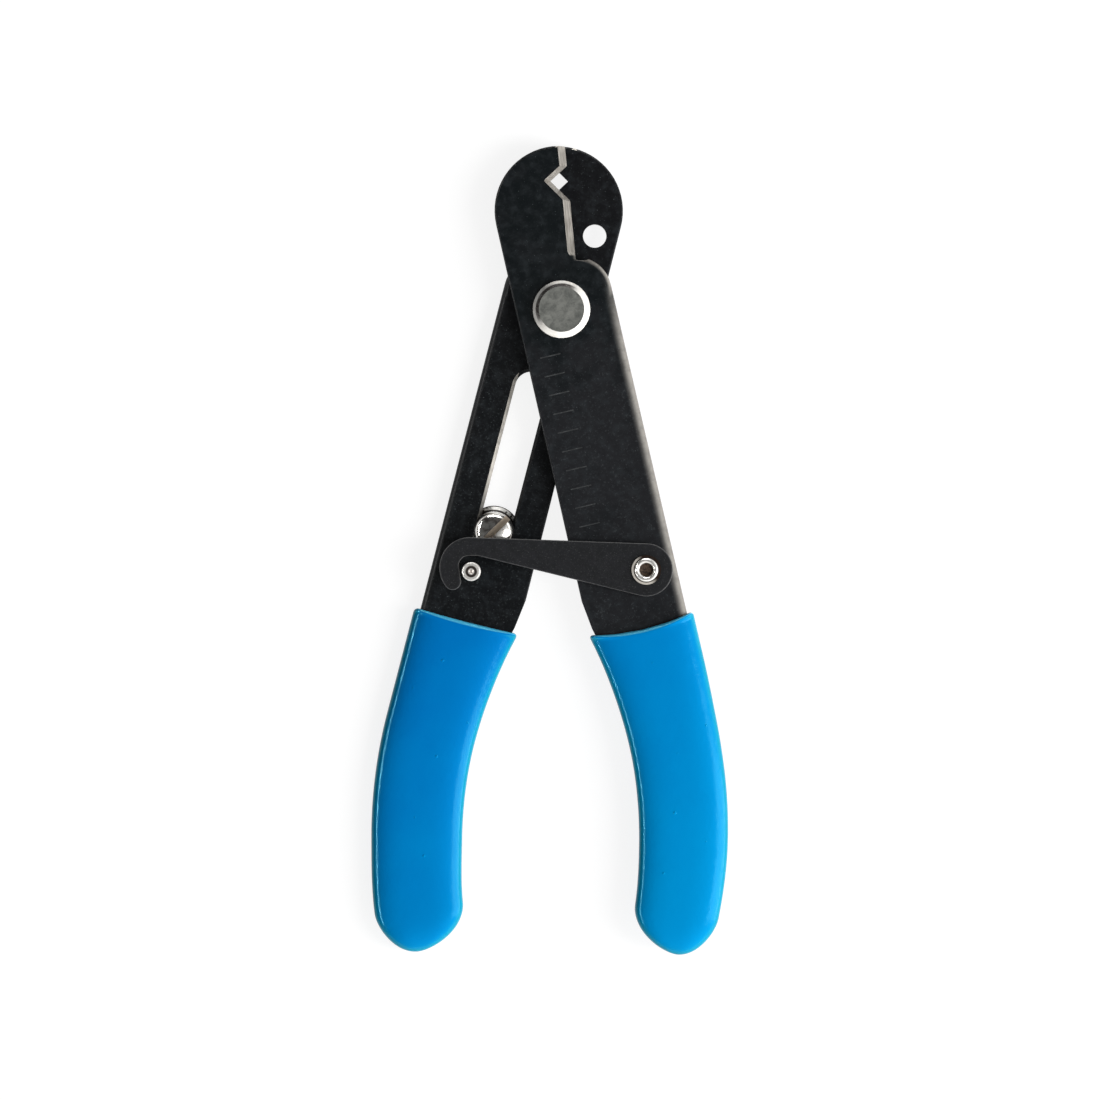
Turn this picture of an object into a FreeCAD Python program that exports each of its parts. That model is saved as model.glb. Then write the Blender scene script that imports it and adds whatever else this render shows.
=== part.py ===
import FreeCAD, Part
import math
import os

import Sketcher
from FreeCAD import Placement, Rotation, Vector

# Adjustable wire stripper, closed and latched, lying flat with its jaws toward +Y.
# Lengths are in millimetres and angles in degrees.
SIZES = {
    # Both levers are the same plate blank, the rear one turned over.
    "plate_thickness": 2.2,
    "plate_gap": 0.05,
    "lever_angle": 13.8,
    "shank_outer": 9.25,
    "shank_inner": 6.8,
    "head_side": 6.53,
    "head_height": 15.4,
    "shoulder_height": 2.0,
    "outer_rounding": 1.0,
    "edge_break": 0.3,
    # Jaws, measured along and across the middle line of the closed tool.
    "jaw_top": 26.2,
    "jaw_root": 8.05,
    "shoulder_top": 8.12,
    "shoulder_top_across": 4.9,
    "root_hollow": 3.0,
    "edge_overlap": 1.45,
    "edge_tilt": 6.2,
    "edge_land": 0.1,
    "bevel_angle": 30.0,
    "bevel_root": 9.2,
    "bevel_corner": 0.6,
    "notch_height": 20.6,
    "notch_depth": 1.4,
    "notch_half_angle": 44.0,
    "notch_grind": 19.0,
    # Hole for a loop or a peg in the rear jaw.
    "loop_hole_radius": 1.88,
    "loop_hole_inset": 2.81,
    "loop_hole_height": 12.96,
    # Neck and tang, measured down the shank.
    "neck_above_mouth": 5.5,
    "tang_in_grip": 0.8,
    "tang_crest": 3.75,
    "crest_below_mouth": 17.6,
    "tang_inner_radius": 71.0,
    "tang_outer_radius": 78.0,
    "grip_sweep_angle": 22.7,
    # Dipped grips.
    "grip_wall": 1.0,
    "grip_cover": 1.2,
    "mouth_below_latch": 8.08,
    "grip_fit": 0.05,
    "grip_rounding": 1.5,
    "mouth_corner": 1.2,
    # Pivot rivet and its washer.
    "rivet_offset": 0.64,
    "rivet_radius": 3.0,
    "rivet_fit": 0.05,
    "rivet_head_radius": 4.6,
    "rivet_head_height": 1.4,
    "rivet_bevel": 0.95,
    "rivet_rim": 0.5,
    "rivet_tail_radius": 4.0,
    "rivet_tail_height": 0.55,
    "rivet_washer_radius": 4.9,
    "rivet_washer_thickness": 0.5,
    # Opening spring, a ring of wire in a well between the levers.
    "spring_wire_radius": 0.42,
    "spring_ring_radius": 4.5,
    "spring_turn_angle": 300.0,
    "spring_leg": 0.75,
    "well_depth": 0.5,
    "well_radius": 5.3,
    "leg_play": 0.12,
    "open_travel_angle": 18.0,
    "close_travel_angle": 8.0,
    # Adjusting slot and its stop.
    "slot_width": 5.2,
    "slot_inset": 0.95,
    "slot_top": 10.6,
    "slot_above_latch": 3.22,
    "slot_chamfer": 0.5,
    "stop_above_slot_end": 3.6,
    "stop_fit": 0.1,
    "boss_straight": 1.6,
    "nut_flange_radius": 4.2,
    "nut_flange_thickness": 1.0,
    "stop_thread_radius": 1.9,
    "thread_fit": 0.05,
    "stop_head_radius": 3.25,
    "stop_head_height": 2.4,
    "stop_head_crown": 0.9,
    "driver_slot_width": 1.0,
    "driver_slot_depth": 1.0,
    "driver_slot_angle": 45.0,
    # Latch arm and what it turns on.
    "latch_inset": 4.43,
    "latch_height": 43.92,
    "latch_thickness": 1.0,
    "latch_end_radius": 4.25,
    "latch_edge_break": 0.25,
    "latch_washer_radius": 3.4,
    "latch_washer_thickness": 0.4,
    "latch_rivet_radius": 1.5,
    "latch_rivet_bore": 1.1,
    "latch_bore_depth": 1.7,
    "latch_flange_radius": 2.37,
    "latch_flange_thickness": 0.3,
    "latch_roll_radius": 1.92,
    "latch_roll_height": 0.35,
    "running_gap": 0.03,
    # Hook of the latch, measured from the middle of the latch pin.
    "hook_reach": 5.1,
    "hook_back": 5.52,
    "hook_round": 4.9,
    "hook_tip_angle": 38.3,
    "hook_tip_radius": 1.35,
    "hook_wall": 2.0,
    "hook_corner": 1.6,
    "hook_ceiling": 2.52,
    "hook_entry": 1.1,
    # Latch pin on the rear lever.
    "pin_inset": 2.82,
    "pin_below_latch": 0.26,
    "pin_radius": 1.52,
    "pin_foot_radius": 1.2,
    "pin_foot_fit": 0.02,
    "pin_neck_radius": 1.05,
    "pin_head_height": 0.5,
    "pin_dimple_radius": 0.4,
    "pin_dimple_depth": 0.25,
    # Depth lines on the front lever.
    "line_first": 6.9,
    "line_pitch": 3.09,
    "line_inset": 2.26,
    "line_length": 3.5,
    "line_width": 0.25,
    "line_depth": 0.08,
}
LINE_COUNT = 10
TOLERANCE = 1e-4

doc = FreeCAD.newDocument("WireStripper")
sheet = doc.addObject("Spreadsheet::Sheet", "Sizes")
for row, (alias, value) in enumerate(SIZES.items(), start=1):
    sheet.set("A%d" % row, alias)
    sheet.set("B%d" % row, str(value))
    sheet.setAlias("B%d" % row, alias)
doc.recompute()


class Measure:
    """A number together with the sheet formula that gives it."""

    def __init__(self, value, formula):
        self.value = float(value)
        self.formula = formula

    def __add__(self, other):
        other = measure(other)
        return Measure(self.value + other.value, "(%s + %s)" % (self.formula, other.formula))

    def __sub__(self, other):
        other = measure(other)
        return Measure(self.value - other.value, "(%s - %s)" % (self.formula, other.formula))

    def __mul__(self, other):
        other = measure(other)
        return Measure(self.value * other.value, "(%s * %s)" % (self.formula, other.formula))

    def __truediv__(self, other):
        other = measure(other)
        return Measure(self.value / other.value, "(%s / %s)" % (self.formula, other.formula))

    def __radd__(self, other):
        return measure(other) + self

    def __rsub__(self, other):
        return measure(other) - self

    def __rmul__(self, other):
        return measure(other) * self

    def __neg__(self):
        return Measure(-self.value, "(0 - %s)" % self.formula)


def measure(number):
    """Any plain number as a Measure."""
    if isinstance(number, Measure):
        return number
    return Measure(number, repr(float(number)))


def size(alias):
    """The driving size of that name."""
    return Measure(SIZES[alias], "Sizes." + alias)


def sine(angle):
    return Measure(math.sin(math.radians(angle.value)), "sin(%s)" % angle.formula)


def cosine(angle):
    return Measure(math.cos(math.radians(angle.value)), "cos(%s)" % angle.formula)


def root(square):
    return Measure(math.sqrt(square.value), "sqrt(%s)" % square.formula)


def distance(first, second):
    """Distance between two points, each a pair of Measures."""
    across = first[0] - second[0]
    along = first[1] - second[1]
    return root(across * across + along * along)


# Sketch and feature helpers.

def new_body(label):
    body = doc.addObject("PartDesign::Body", label)
    body.Label = label
    return body


def new_sketch(body, name, plane="XY_Plane", height=None):
    """An empty sketch on one of the body's own planes, raised by height."""
    sketch = body.newObject("Sketcher::SketchObject", name)
    origin_plane = [item for item in body.Origin.OriginFeatures if item.Role == plane][0]
    sketch.AttachmentSupport = [(origin_plane, "")]
    sketch.MapMode = "FlatFace"
    if height is not None:
        sketch.setExpression("AttachmentOffset.Base.z", height.formula)
    return sketch


def pin(sketch, geometry, position, point):
    """Hold a point of the geometry at its place from the origin."""
    for kind, place in zip(("DistanceX", "DistanceY"), point):
        index = sketch.addConstraint(
            Sketcher.Constraint(kind, -1, 1, geometry, position, place.value))
        sketch.setExpression("Constraints[%d]" % index, place.formula)


class Bend:
    """An arc between two corners: its radius, and +1 to turn left or -1 to turn right."""

    def __init__(self, radius, turn=1):
        self.radius = radius
        self.turn = turn


def arc_between(start, end, bend):
    """The short arc of that radius, always stored anticlockwise."""
    half = (end - start) * 0.5
    rise = math.sqrt(max(bend.radius.value ** 2 - half.Length ** 2, 0.0))
    left = Vector(-half.y, half.x, 0) / half.Length
    center = start + half + left * rise * bend.turn
    first, last = (start, end) if bend.turn > 0 else (end, start)
    begin = math.atan2(first.y - center.y, first.x - center.x)
    finish = math.atan2(last.y - center.y, last.x - center.x)
    circle = Part.Circle(center, Vector(0, 0, 1), bend.radius.value)
    return Part.ArcOfCircle(circle, begin, finish)


def draw_outline(sketch, corners, bends):
    """A closed outline through the corners; bends holds the arcs by their first corner."""
    corners = [(measure(x), measure(y)) for x, y in corners]
    points = [Vector(x.value, y.value, 0) for x, y in corners]
    ends = []
    for index, start in enumerate(points):
        end = points[(index + 1) % len(points)]
        bend = bends.get(index)
        if bend is None:
            edge = sketch.addGeometry(Part.LineSegment(start, end), False)
            ends.append((edge, 1, 2))
            continue
        edge = sketch.addGeometry(arc_between(start, end, bend), False)
        ends.append((edge, 1, 2) if bend.turn > 0 else (edge, 2, 1))
    for index, (edge, start, end) in enumerate(ends):
        following, begin, _ = ends[(index + 1) % len(ends)]
        sketch.addConstraint(Sketcher.Constraint("Coincident", edge, end, following, begin))
        pin(sketch, edge, start, corners[index])
    for index, bend in bends.items():
        edge = ends[index][0]
        chord = (points[(index + 1) % len(points)] - points[index]).Length
        if chord > 2 * bend.radius.value - TOLERANCE:
            flatten_half_turn(sketch, edge, corners, index)
            continue
        limit = sketch.addConstraint(Sketcher.Constraint("Radius", edge, bend.radius.value))
        sketch.setExpression("Constraints[%d]" % limit, bend.radius.formula)
    return points


def flatten_half_turn(sketch, edge, corners, index):
    """Keep a half circle's middle on its chord."""
    first = corners[index]
    second = corners[(index + 1) % len(corners)]
    middle = [(a + b) * 0.5 for a, b in zip(first, second)]
    level = abs(first[1].value - second[1].value) < abs(first[0].value - second[0].value)
    kind, place = ("DistanceY", middle[1]) if level else ("DistanceX", middle[0])
    limit = sketch.addConstraint(Sketcher.Constraint(kind, -1, 1, edge, 3, place.value))
    sketch.setExpression("Constraints[%d]" % limit, place.formula)


def draw_circle(sketch, center, radius):
    center = (measure(center[0]), measure(center[1]))
    middle = Vector(center[0].value, center[1].value, 0)
    circle = sketch.addGeometry(Part.Circle(middle, Vector(0, 0, 1), radius.value), False)
    pin(sketch, circle, 3, center)
    limit = sketch.addConstraint(Sketcher.Constraint("Radius", circle, radius.value))
    sketch.setExpression("Constraints[%d]" % limit, radius.formula)


def pad(body, name, sketch, length, both_ways=False):
    feature = body.newObject("PartDesign::Pad", name)
    feature.Profile = sketch
    feature.Midplane = both_ways
    feature.setExpression("Length", length.formula)
    doc.recompute()
    return feature


def pocket(body, name, sketch, length, both_ways=False, downward=False, taper=None):
    """Cut the sketch into the body, and make sure that it took something away."""
    before = body.Shape.Volume
    feature = body.newObject("PartDesign::Pocket", name)
    feature.Profile = sketch
    feature.Midplane = both_ways
    feature.Reversed = not downward
    feature.setExpression("Length", length.formula)
    if taper is not None:
        feature.setExpression("TaperAngle", taper.formula)
    doc.recompute()
    if not feature.Shape.Volume < before:
        raise RuntimeError(body.Label + ": " + name + " cut nothing")
    return feature


def revolve(body, name, sketch, angle=None):
    feature = body.newObject("PartDesign::Revolution", name)
    feature.Profile = sketch
    feature.ReferenceAxis = (sketch, ["V_Axis"])
    feature.Angle = 360.0
    if angle is not None:
        feature.setExpression("Angle", angle.formula)
    doc.recompute()
    return feature


def turned(label, profile, bends=None):
    """A body turned from its profile, whose points are radius and height."""
    body = new_body(label)
    sketch = new_sketch(body, label + "_profile", "XZ_Plane")
    draw_outline(sketch, profile, bends or {})
    revolve(body, label + "_turning", sketch)
    return body


def edge_names(shape, pairs, levels):
    """Names of the edges that join the given pairs of points, at the given heights."""
    names = []
    for number, edge in enumerate(shape.Edges, start=1):
        if len(edge.Vertexes) != 2:
            continue
        ends = [vertex.Point for vertex in edge.Vertexes]
        for first, second in pairs:
            for level in levels:
                lift = Vector(0, 0, level)
                wanted = (first + lift, second + lift)
                straight = max((a - b).Length for a, b in zip(ends, wanted))
                crossed = max((a - b).Length for a, b in zip(reversed(ends), wanted))
                if min(straight, crossed) < TOLERANCE:
                    names.append("Edge%d" % number)
    return names


def fillet(body, name, base, edges, radius):
    feature = body.newObject("PartDesign::Fillet", name)
    feature.Base = (base, edges)
    feature.setExpression("Radius", radius.formula)
    doc.recompute()
    return feature


def chamfer(body, name, base, edges, width):
    feature = body.newObject("PartDesign::Chamfer", name)
    feature.Base = (base, edges)
    feature.setExpression("Size", width.formula)
    doc.recompute()
    return feature


# Places in a lever's own frame: the pivot's height is y = 0, the shank runs down -Y.

THICKNESS = size("plate_thickness")
LEAN = size("lever_angle")
GRIP_MOUTH = size("latch_height") + size("mouth_below_latch")
GRIP_CREST = GRIP_MOUTH + size("crest_below_mouth")
TANG_START = GRIP_MOUTH - size("tang_in_grip")
NECK_START = GRIP_MOUTH - size("neck_above_mouth")
SLOT_BOTTOM = size("latch_height") - size("slot_above_latch")
STOP_PLACE = SLOT_BOTTOM - size("stop_above_slot_end")
PIN_HEIGHT = size("latch_height") + size("pin_below_latch")
FRONT, REAR = 1, -1


def from_middle(across, up):
    """A point given across and along the tool's middle line, in the lever's frame."""
    across, up = measure(across), measure(up)
    return (across * cosine(LEAN) + up * sine(LEAN), up * cosine(LEAN) - across * sine(LEAN))


def to_middle(point, side):
    """A point of a lever's frame, in the frame of the whole tool."""
    x, y = measure(point[0]), measure(point[1])
    across = x * cosine(LEAN) - y * sine(LEAN)
    return (across * side, x * sine(LEAN) + y * cosine(LEAN))


def pivot_place(side):
    return from_middle(size("rivet_offset") * side, 0)


def edge_point(height, shift=0):
    """A point of the cutting edge at that height along the middle line."""
    tilt = size("edge_tilt")
    lean = (size("notch_height") - height) * (sine(tilt) / cosine(tilt))
    return from_middle(size("edge_overlap") + lean + shift, height)


def arc_from_upright(start, end):
    """Radius of the arc that leaves start along Y and ends at the other point."""
    across = end[0] - start[0]
    along = end[1] - start[1]
    radius = (across * across + along * along) / (across * 2)
    return radius if radius.value > 0 else -radius


def tang_outline(grow, top, cropped=False):
    """The tang's curve grown all round, from its mouth down and up; its end is round or cropped."""
    crest = -GRIP_CREST
    inner_radius = size("tang_inner_radius") - grow
    outer_radius = size("tang_outer_radius") + grow
    inner_middle = (-size("tang_crest") - size("tang_inner_radius"), crest)
    outer_middle = (size("shank_outer") - size("tang_outer_radius"), crest)
    middle_radius = (size("tang_inner_radius") + size("tang_outer_radius")) * 0.5
    focus = (outer_middle[0] - inner_middle[0]) * 0.5
    narrow = root(middle_radius * middle_radius - focus * focus)
    sweep = size("grip_sweep_angle")
    end = (inner_middle[0] + focus + middle_radius * cosine(sweep), crest - narrow * sine(sweep))
    end_radius = (outer_radius - inner_radius) * 0.5 + focus * cosine(sweep)
    rise = top - crest
    mouth = (inner_middle[0] + root(inner_radius * inner_radius - rise * rise), top)
    inner_reach = middle_radius + focus * cosine(sweep)
    inner_end = tuple(a + inner_radius * (b - a) / inner_reach
                      for a, b in zip(inner_middle, end))
    outer_reach = middle_radius - focus * cosine(sweep)
    outer_end = tuple(a + outer_radius * (b - a) / outer_reach
                      for a, b in zip(outer_middle, end))
    outer_crest = (size("shank_outer") + grow, crest)
    corners = [mouth, inner_end, outer_end, outer_crest]
    bends = {0: Bend(inner_radius, -1), 2: Bend(outer_radius)}
    if not cropped:
        bends[1] = Bend(end_radius)
    return corners, bends


def spring_gate(side):
    """Angles, about the pivot, that a spring leg sweeps in that lever, both in its frame."""
    if side == FRONT:
        rest = size("lever_angle") * -1 + 90
        return rest - size("open_travel_angle"), rest
    rest = size("lever_angle") * -1 + 90 + (360 - size("spring_turn_angle"))
    return rest, rest + size("close_travel_angle")


def lever(label, side):
    """The plate with everything that both levers share; its flat shear face is at z = 0."""
    body = new_body(label)
    tang, tang_bends = tang_outline(measure(0), -TANG_START, cropped=True)
    head = (-size("head_side"), size("head_height"))
    neck = (-size("shank_inner"), -NECK_START)
    shoulder = (size("shank_outer"), size("shoulder_height"))
    shoulder_top = from_middle(size("shoulder_top_across"), size("shoulder_top"))
    jaw_root = edge_point(size("jaw_root"))
    jaw_top = edge_point(size("jaw_top"))
    corners = [head, neck] + tang + [shoulder, shoulder_top, jaw_root, jaw_top]
    bends = {
        2: tang_bends[0],
        4: tang_bends[2],
        6: Bend(arc_from_upright(shoulder, shoulder_top)),
        7: Bend(size("root_hollow"), -1),
        9: Bend(arc_from_upright(head, jaw_top)),
    }
    sketch = new_sketch(body, label + "_outline")
    points = draw_outline(sketch, corners, bends)
    plate = pad(body, label + "_plate", sketch, THICKNESS)
    levels = (0, THICKNESS.value)
    inside = edge_names(plate.Shape, [(points[0], points[1])], levels)
    broken = fillet(body, label + "_edge_break", plate, inside, size("edge_break"))
    outside = edge_names(broken.Shape, [(points[5], points[6])], levels)
    fillet(body, label + "_rounding", broken, outside, size("outer_rounding"))
    cut_pivot(body, label, side)
    cut_jaw(body, label)
    return body


def cut_pivot(body, label, side):
    """The rivet's hole, the spring's well and the gate of the spring's leg."""
    center = pivot_place(side)
    sketch = new_sketch(body, label + "_pivot_hole")
    draw_circle(sketch, center, size("rivet_radius") + size("rivet_fit"))
    pocket(body, label + "_pivot_bore", sketch, THICKNESS)
    sketch = new_sketch(body, label + "_well_outline")
    draw_circle(sketch, center, size("well_radius"))
    pocket(body, label + "_well", sketch, size("well_depth"))
    first, last = spring_gate(side)
    play = size("spring_wire_radius") + size("leg_play")
    inner = size("spring_ring_radius") - play
    outer = size("spring_ring_radius") + play
    slack = play / size("spring_ring_radius") * 57.3
    first, last = first - slack, last + slack
    corners = []
    for radius, angle in ((outer, first), (outer, last), (inner, last), (inner, first)):
        corners.append((center[0] + radius * cosine(angle), center[1] + radius * sine(angle)))
    sketch = new_sketch(body, label + "_gate_outline")
    draw_outline(sketch, corners, {0: Bend(outer), 2: Bend(inner, -1)})
    depth = size("well_depth") + size("spring_leg")
    pocket(body, label + "_gate", sketch, depth)


def cut_jaw(body, label):
    """The ground bevel along the cutting edge, and the ground notch."""
    clear = size("jaw_top") - size("jaw_root")
    land = size("edge_land")
    root_height = size("bevel_root")
    corner = size("bevel_corner")
    top_height = size("jaw_top") + clear
    corners = [
        edge_point(root_height, clear),
        edge_point(top_height, clear),
        edge_point(top_height, land),
        edge_point(root_height + corner, land),
        edge_point(root_height, land + corner),
    ]
    sketch = new_sketch(body, label + "_bevel_outline")
    draw_outline(sketch, corners, {3: Bend(corner)})
    pocket(body, label + "_bevel", sketch, THICKNESS, taper=size("bevel_angle"))
    depth = size("notch_depth")
    half = size("notch_half_angle")
    spread = (depth + clear) * (sine(half) / cosine(half))
    middle = size("notch_height")
    corners = [
        from_middle(-depth, middle),
        from_middle(clear, middle - spread),
        from_middle(clear, middle + spread),
    ]
    sketch = new_sketch(body, label + "_notch_outline")
    draw_outline(sketch, corners, {})
    pocket(body, label + "_notch", sketch, THICKNESS, taper=size("notch_grind"))


def front_lever():
    body = lever("front_lever", FRONT)
    sketch = new_sketch(body, "latch_rivet_hole")
    place = (size("latch_inset"), -size("latch_height"))
    draw_circle(sketch, place, size("latch_rivet_radius") + size("rivet_fit"))
    pocket(body, "latch_rivet_bore", sketch, THICKNESS)
    cut_depth_lines(body)
    return body


def cut_depth_lines(body):
    """Plain lines across the shank, to measure stripped wire against."""
    left = -size("shank_inner") + size("line_inset")
    right = left + size("line_length")
    top = -size("line_first")
    bottom = top - size("line_width")
    corners = [(left, top), (left, bottom), (right, bottom), (right, top)]
    sketch = new_sketch(body, "depth_line", height=THICKNESS)
    draw_outline(sketch, corners, {})
    line = pocket(body, "depth_line_cut", sketch, size("line_depth"), downward=True)
    pattern = body.newObject("PartDesign::LinearPattern", "depth_lines")
    pattern.Originals = [line]
    pattern.Direction = (sketch, ["V_Axis"])
    pattern.Reversed = True
    pattern.Occurrences = LINE_COUNT
    pattern.setExpression("Length", (size("line_pitch") * (LINE_COUNT - 1)).formula)
    body.Tip = pattern
    doc.recompute()


def slot_outline(sketch, half_width, top, bottom, middle):
    """A slot down the shank with half round ends."""
    left, right = middle - half_width, middle + half_width
    corners = [(left, top), (left, bottom), (right, bottom), (right, top)]
    return draw_outline(sketch, corners, {1: Bend(half_width), 3: Bend(half_width)})


def rear_lever():
    body = lever("rear_lever", REAR)
    sketch = new_sketch(body, "loop_hole")
    place = (-size("loop_hole_inset"), size("loop_hole_height"))
    draw_circle(sketch, place, size("loop_hole_radius"))
    pocket(body, "loop_hole_bore", sketch, THICKNESS)
    sketch = new_sketch(body, "pin_hole")
    place = (size("pin_inset"), -PIN_HEIGHT)
    draw_circle(sketch, place, size("pin_foot_radius") + size("pin_foot_fit"))
    pocket(body, "pin_bore", sketch, THICKNESS)
    sketch = new_sketch(body, "slot_outline")
    half = size("slot_width") * 0.5
    top = -size("slot_top") - half
    bottom = -SLOT_BOTTOM + half
    points = slot_outline(sketch, half, top, bottom, size("slot_inset"))
    slot = pocket(body, "slot", sketch, THICKNESS)
    rim = zip(points, points[1:] + points[:1])
    chamfer(body, "slot_chamfer", slot, edge_names(slot.Shape, list(rim), (0,)),
            size("slot_chamfer"))
    return body


def grip(label):
    """A dipped sleeve over the tang; its middle plane is at z = 0."""
    body = new_body(label)
    mouth = -GRIP_MOUTH
    corners, bends = tang_outline(size("grip_wall"), mouth)
    corners.append((size("shank_outer") + size("grip_wall"), mouth))
    sketch = new_sketch(body, label + "_outline")
    points = draw_outline(sketch, corners, bends)
    depth = THICKNESS + size("grip_cover") * 2
    sleeve = pad(body, label + "_sleeve", sketch, depth, both_ways=True)
    half = depth.value / 2
    posts = []
    for number, edge in enumerate(sleeve.Shape.Edges, start=1):
        middle = edge.CenterOfMass
        if abs(middle.z) < TOLERANCE and abs(middle.y - points[0].y) < TOLERANCE:
            posts.append("Edge%d" % number)
    corner = fillet(body, label + "_corners", sleeve, posts, size("mouth_corner"))
    rim = edge_names(corner.Shape, [(points[1], points[2])], (-half, half))
    fillet(body, label + "_rounding", corner, rim, size("grip_rounding"))
    fit = size("grip_fit")
    corners, bends = tang_outline(fit, mouth + size("grip_wall"), cropped=True)
    corners.append((size("shank_outer") + fit, mouth + size("grip_wall")))
    sketch = new_sketch(body, label + "_cavity_outline")
    draw_outline(sketch, corners, bends)
    pocket(body, label + "_cavity", sketch, THICKNESS + fit * 2, both_ways=True)
    return body


def pivot_rivet():
    """The rivet that both levers turn on, from the rear plate's back at height 0."""
    head_base = THICKNESS * 2 + size("plate_gap") + size("running_gap")
    head_top = head_base + size("rivet_head_height")
    tail_base = -size("rivet_washer_thickness")
    tail_top = tail_base - size("rivet_tail_height")
    tail_round = size("rivet_tail_height") * 0.8
    profile = [
        (0, tail_top),
        (size("rivet_tail_radius") - tail_round, tail_top),
        (size("rivet_tail_radius"), tail_top + tail_round),
        (size("rivet_tail_radius"), tail_base),
        (size("rivet_radius"), tail_base),
        (size("rivet_radius"), head_base),
        (size("rivet_head_radius"), head_base),
        (size("rivet_head_radius"), head_base + size("rivet_rim")),
        (size("rivet_head_radius") - size("rivet_bevel"), head_top),
        (0, head_top),
    ]
    return turned("pivot_rivet", profile, {1: Bend(tail_round)})


def ring(label, bore, radius, thickness):
    profile = [(bore, 0), (radius, 0), (radius, thickness), (bore, thickness)]
    return turned(label, profile)


def opening_spring():
    """An open ring of wire; one end steps up into the front lever, the other down."""
    body = new_body("opening_spring")
    wire = size("spring_wire_radius")
    sketch = new_sketch(body, "wire_section", "XZ_Plane")
    draw_circle(sketch, (size("spring_ring_radius"), 0), wire)
    revolve(body, "ring_of_wire", sketch, size("spring_turn_angle"))
    reach = size("well_depth") + size("spring_leg") - size("leg_play")
    end = size("spring_turn_angle")
    places = ((measure(0), False), (end, True))
    for number, (angle, downward) in enumerate(places, start=1):
        sketch = new_sketch(body, "leg_section_%d" % number)
        radius = size("spring_ring_radius")
        draw_circle(sketch, (radius * cosine(angle), radius * sine(angle)), wire)
        leg = body.newObject("PartDesign::Pad", "leg_%d" % number)
        leg.Profile = sketch
        leg.Reversed = downward
        leg.setExpression("Length", reach.formula)
        doc.recompute()
    return body


def stop_screw():
    """The adjusting screw, from the underside of its head at height 0."""
    shank = THICKNESS + size("plate_gap") + size("nut_flange_thickness")
    head = size("stop_head_radius")
    top = size("stop_head_height")
    crown = size("stop_head_crown")
    profile = [
        (0, -shank),
        (size("stop_thread_radius"), -shank),
        (size("stop_thread_radius"), 0),
        (head, 0),
        (head, top - crown),
        (head - crown, top),
        (0, top),
    ]
    body = turned("stop_screw", profile, {4: Bend(crown)})
    half = size("driver_slot_width") * 0.5
    corners = [(-head, -half), (head, -half), (head, half), (-head, half)]
    sketch = new_sketch(body, "driver_slot_outline", height=top)
    draw_outline(sketch, corners, {})
    pocket(body, "driver_slot", sketch, size("driver_slot_depth"), downward=True)
    return body


def stop_nut():
    """The nut behind the rear lever, with a boss that slides in the slot."""
    body = new_body("stop_nut")
    sketch = new_sketch(body, "flange_outline")
    draw_circle(sketch, (0, 0), size("nut_flange_radius"))
    flange = body.newObject("PartDesign::Pad", "flange")
    flange.Profile = sketch
    flange.Reversed = True
    flange.setExpression("Length", size("nut_flange_thickness").formula)
    doc.recompute()
    sketch = new_sketch(body, "boss_outline")
    half = size("slot_width") * 0.5 - size("stop_fit")
    reach = size("boss_straight") * 0.5
    slot_outline(sketch, half, reach, -reach, measure(0))
    pad(body, "boss", sketch, THICKNESS - size("stop_fit"))
    sketch = new_sketch(body, "thread_outline")
    draw_circle(sketch, (0, 0), size("stop_thread_radius") + size("thread_fit"))
    pocket(body, "thread_bore", sketch, THICKNESS * 4, both_ways=True)
    return body


def latch_places():
    """Where the latch turns and where its pin stands, in the frame of the whole tool."""
    turn = to_middle((size("latch_inset"), -size("latch_height")), FRONT)
    post = to_middle((size("pin_inset"), -PIN_HEIGHT), REAR)
    return turn, post


def latch_arm():
    """The hooked arm; it turns about the origin and its hook holds a pin on +X."""
    body = new_body("latch_arm")
    turn, post = latch_places()
    reach = distance(turn, post)
    end = size("latch_end_radius")
    tip = size("hook_tip_radius")
    back = -size("hook_back")
    round_radius = size("hook_round")
    bow_x = reach + size("hook_reach") - round_radius
    bow_y = back + round_radius
    tip_across = cosine(size("hook_tip_angle"))
    tip_down = sine(size("hook_tip_angle"))
    tip_x = bow_x + (round_radius - tip) * tip_across
    drop = bow_y + (round_radius - tip) * tip_down
    wall = reach + size("hook_wall")
    corner = size("hook_corner")
    ceiling = -size("hook_ceiling")
    entry = (reach - size("hook_entry"), ceiling)
    slope = distance(entry, (measure(0), end))
    leave = (end * (end - ceiling) / slope, end * entry[0] / slope)
    corners = [
        (0, -end),
        (bow_x, back),
        (bow_x + round_radius * tip_across, bow_y + round_radius * tip_down),
        (tip_x - tip, drop),
        (wall, ceiling + corner),
        (wall - corner, ceiling),
        entry,
        leave,
        (-end, 0),
    ]
    bends = {
        1: Bend(round_radius),
        2: Bend(tip),
        4: Bend(corner, -1),
        7: Bend(end),
        8: Bend(end),
    }
    sketch = new_sketch(body, "latch_outline")
    draw_outline(sketch, corners, bends)
    arm = pad(body, "latch_plate", sketch, size("latch_thickness"))
    faces = []
    for number, face in enumerate(arm.Shape.Faces, start=1):
        if abs(face.normalAt(0, 0).z) > 1 - TOLERANCE:
            faces.append("Face%d" % number)
    fillet(body, "latch_edge_break", arm, faces, size("latch_edge_break"))
    sketch = new_sketch(body, "latch_hole")
    draw_circle(sketch, (0, 0), size("latch_rivet_radius") + size("rivet_fit"))
    pocket(body, "latch_bore", sketch, size("latch_thickness"))
    return body


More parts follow.
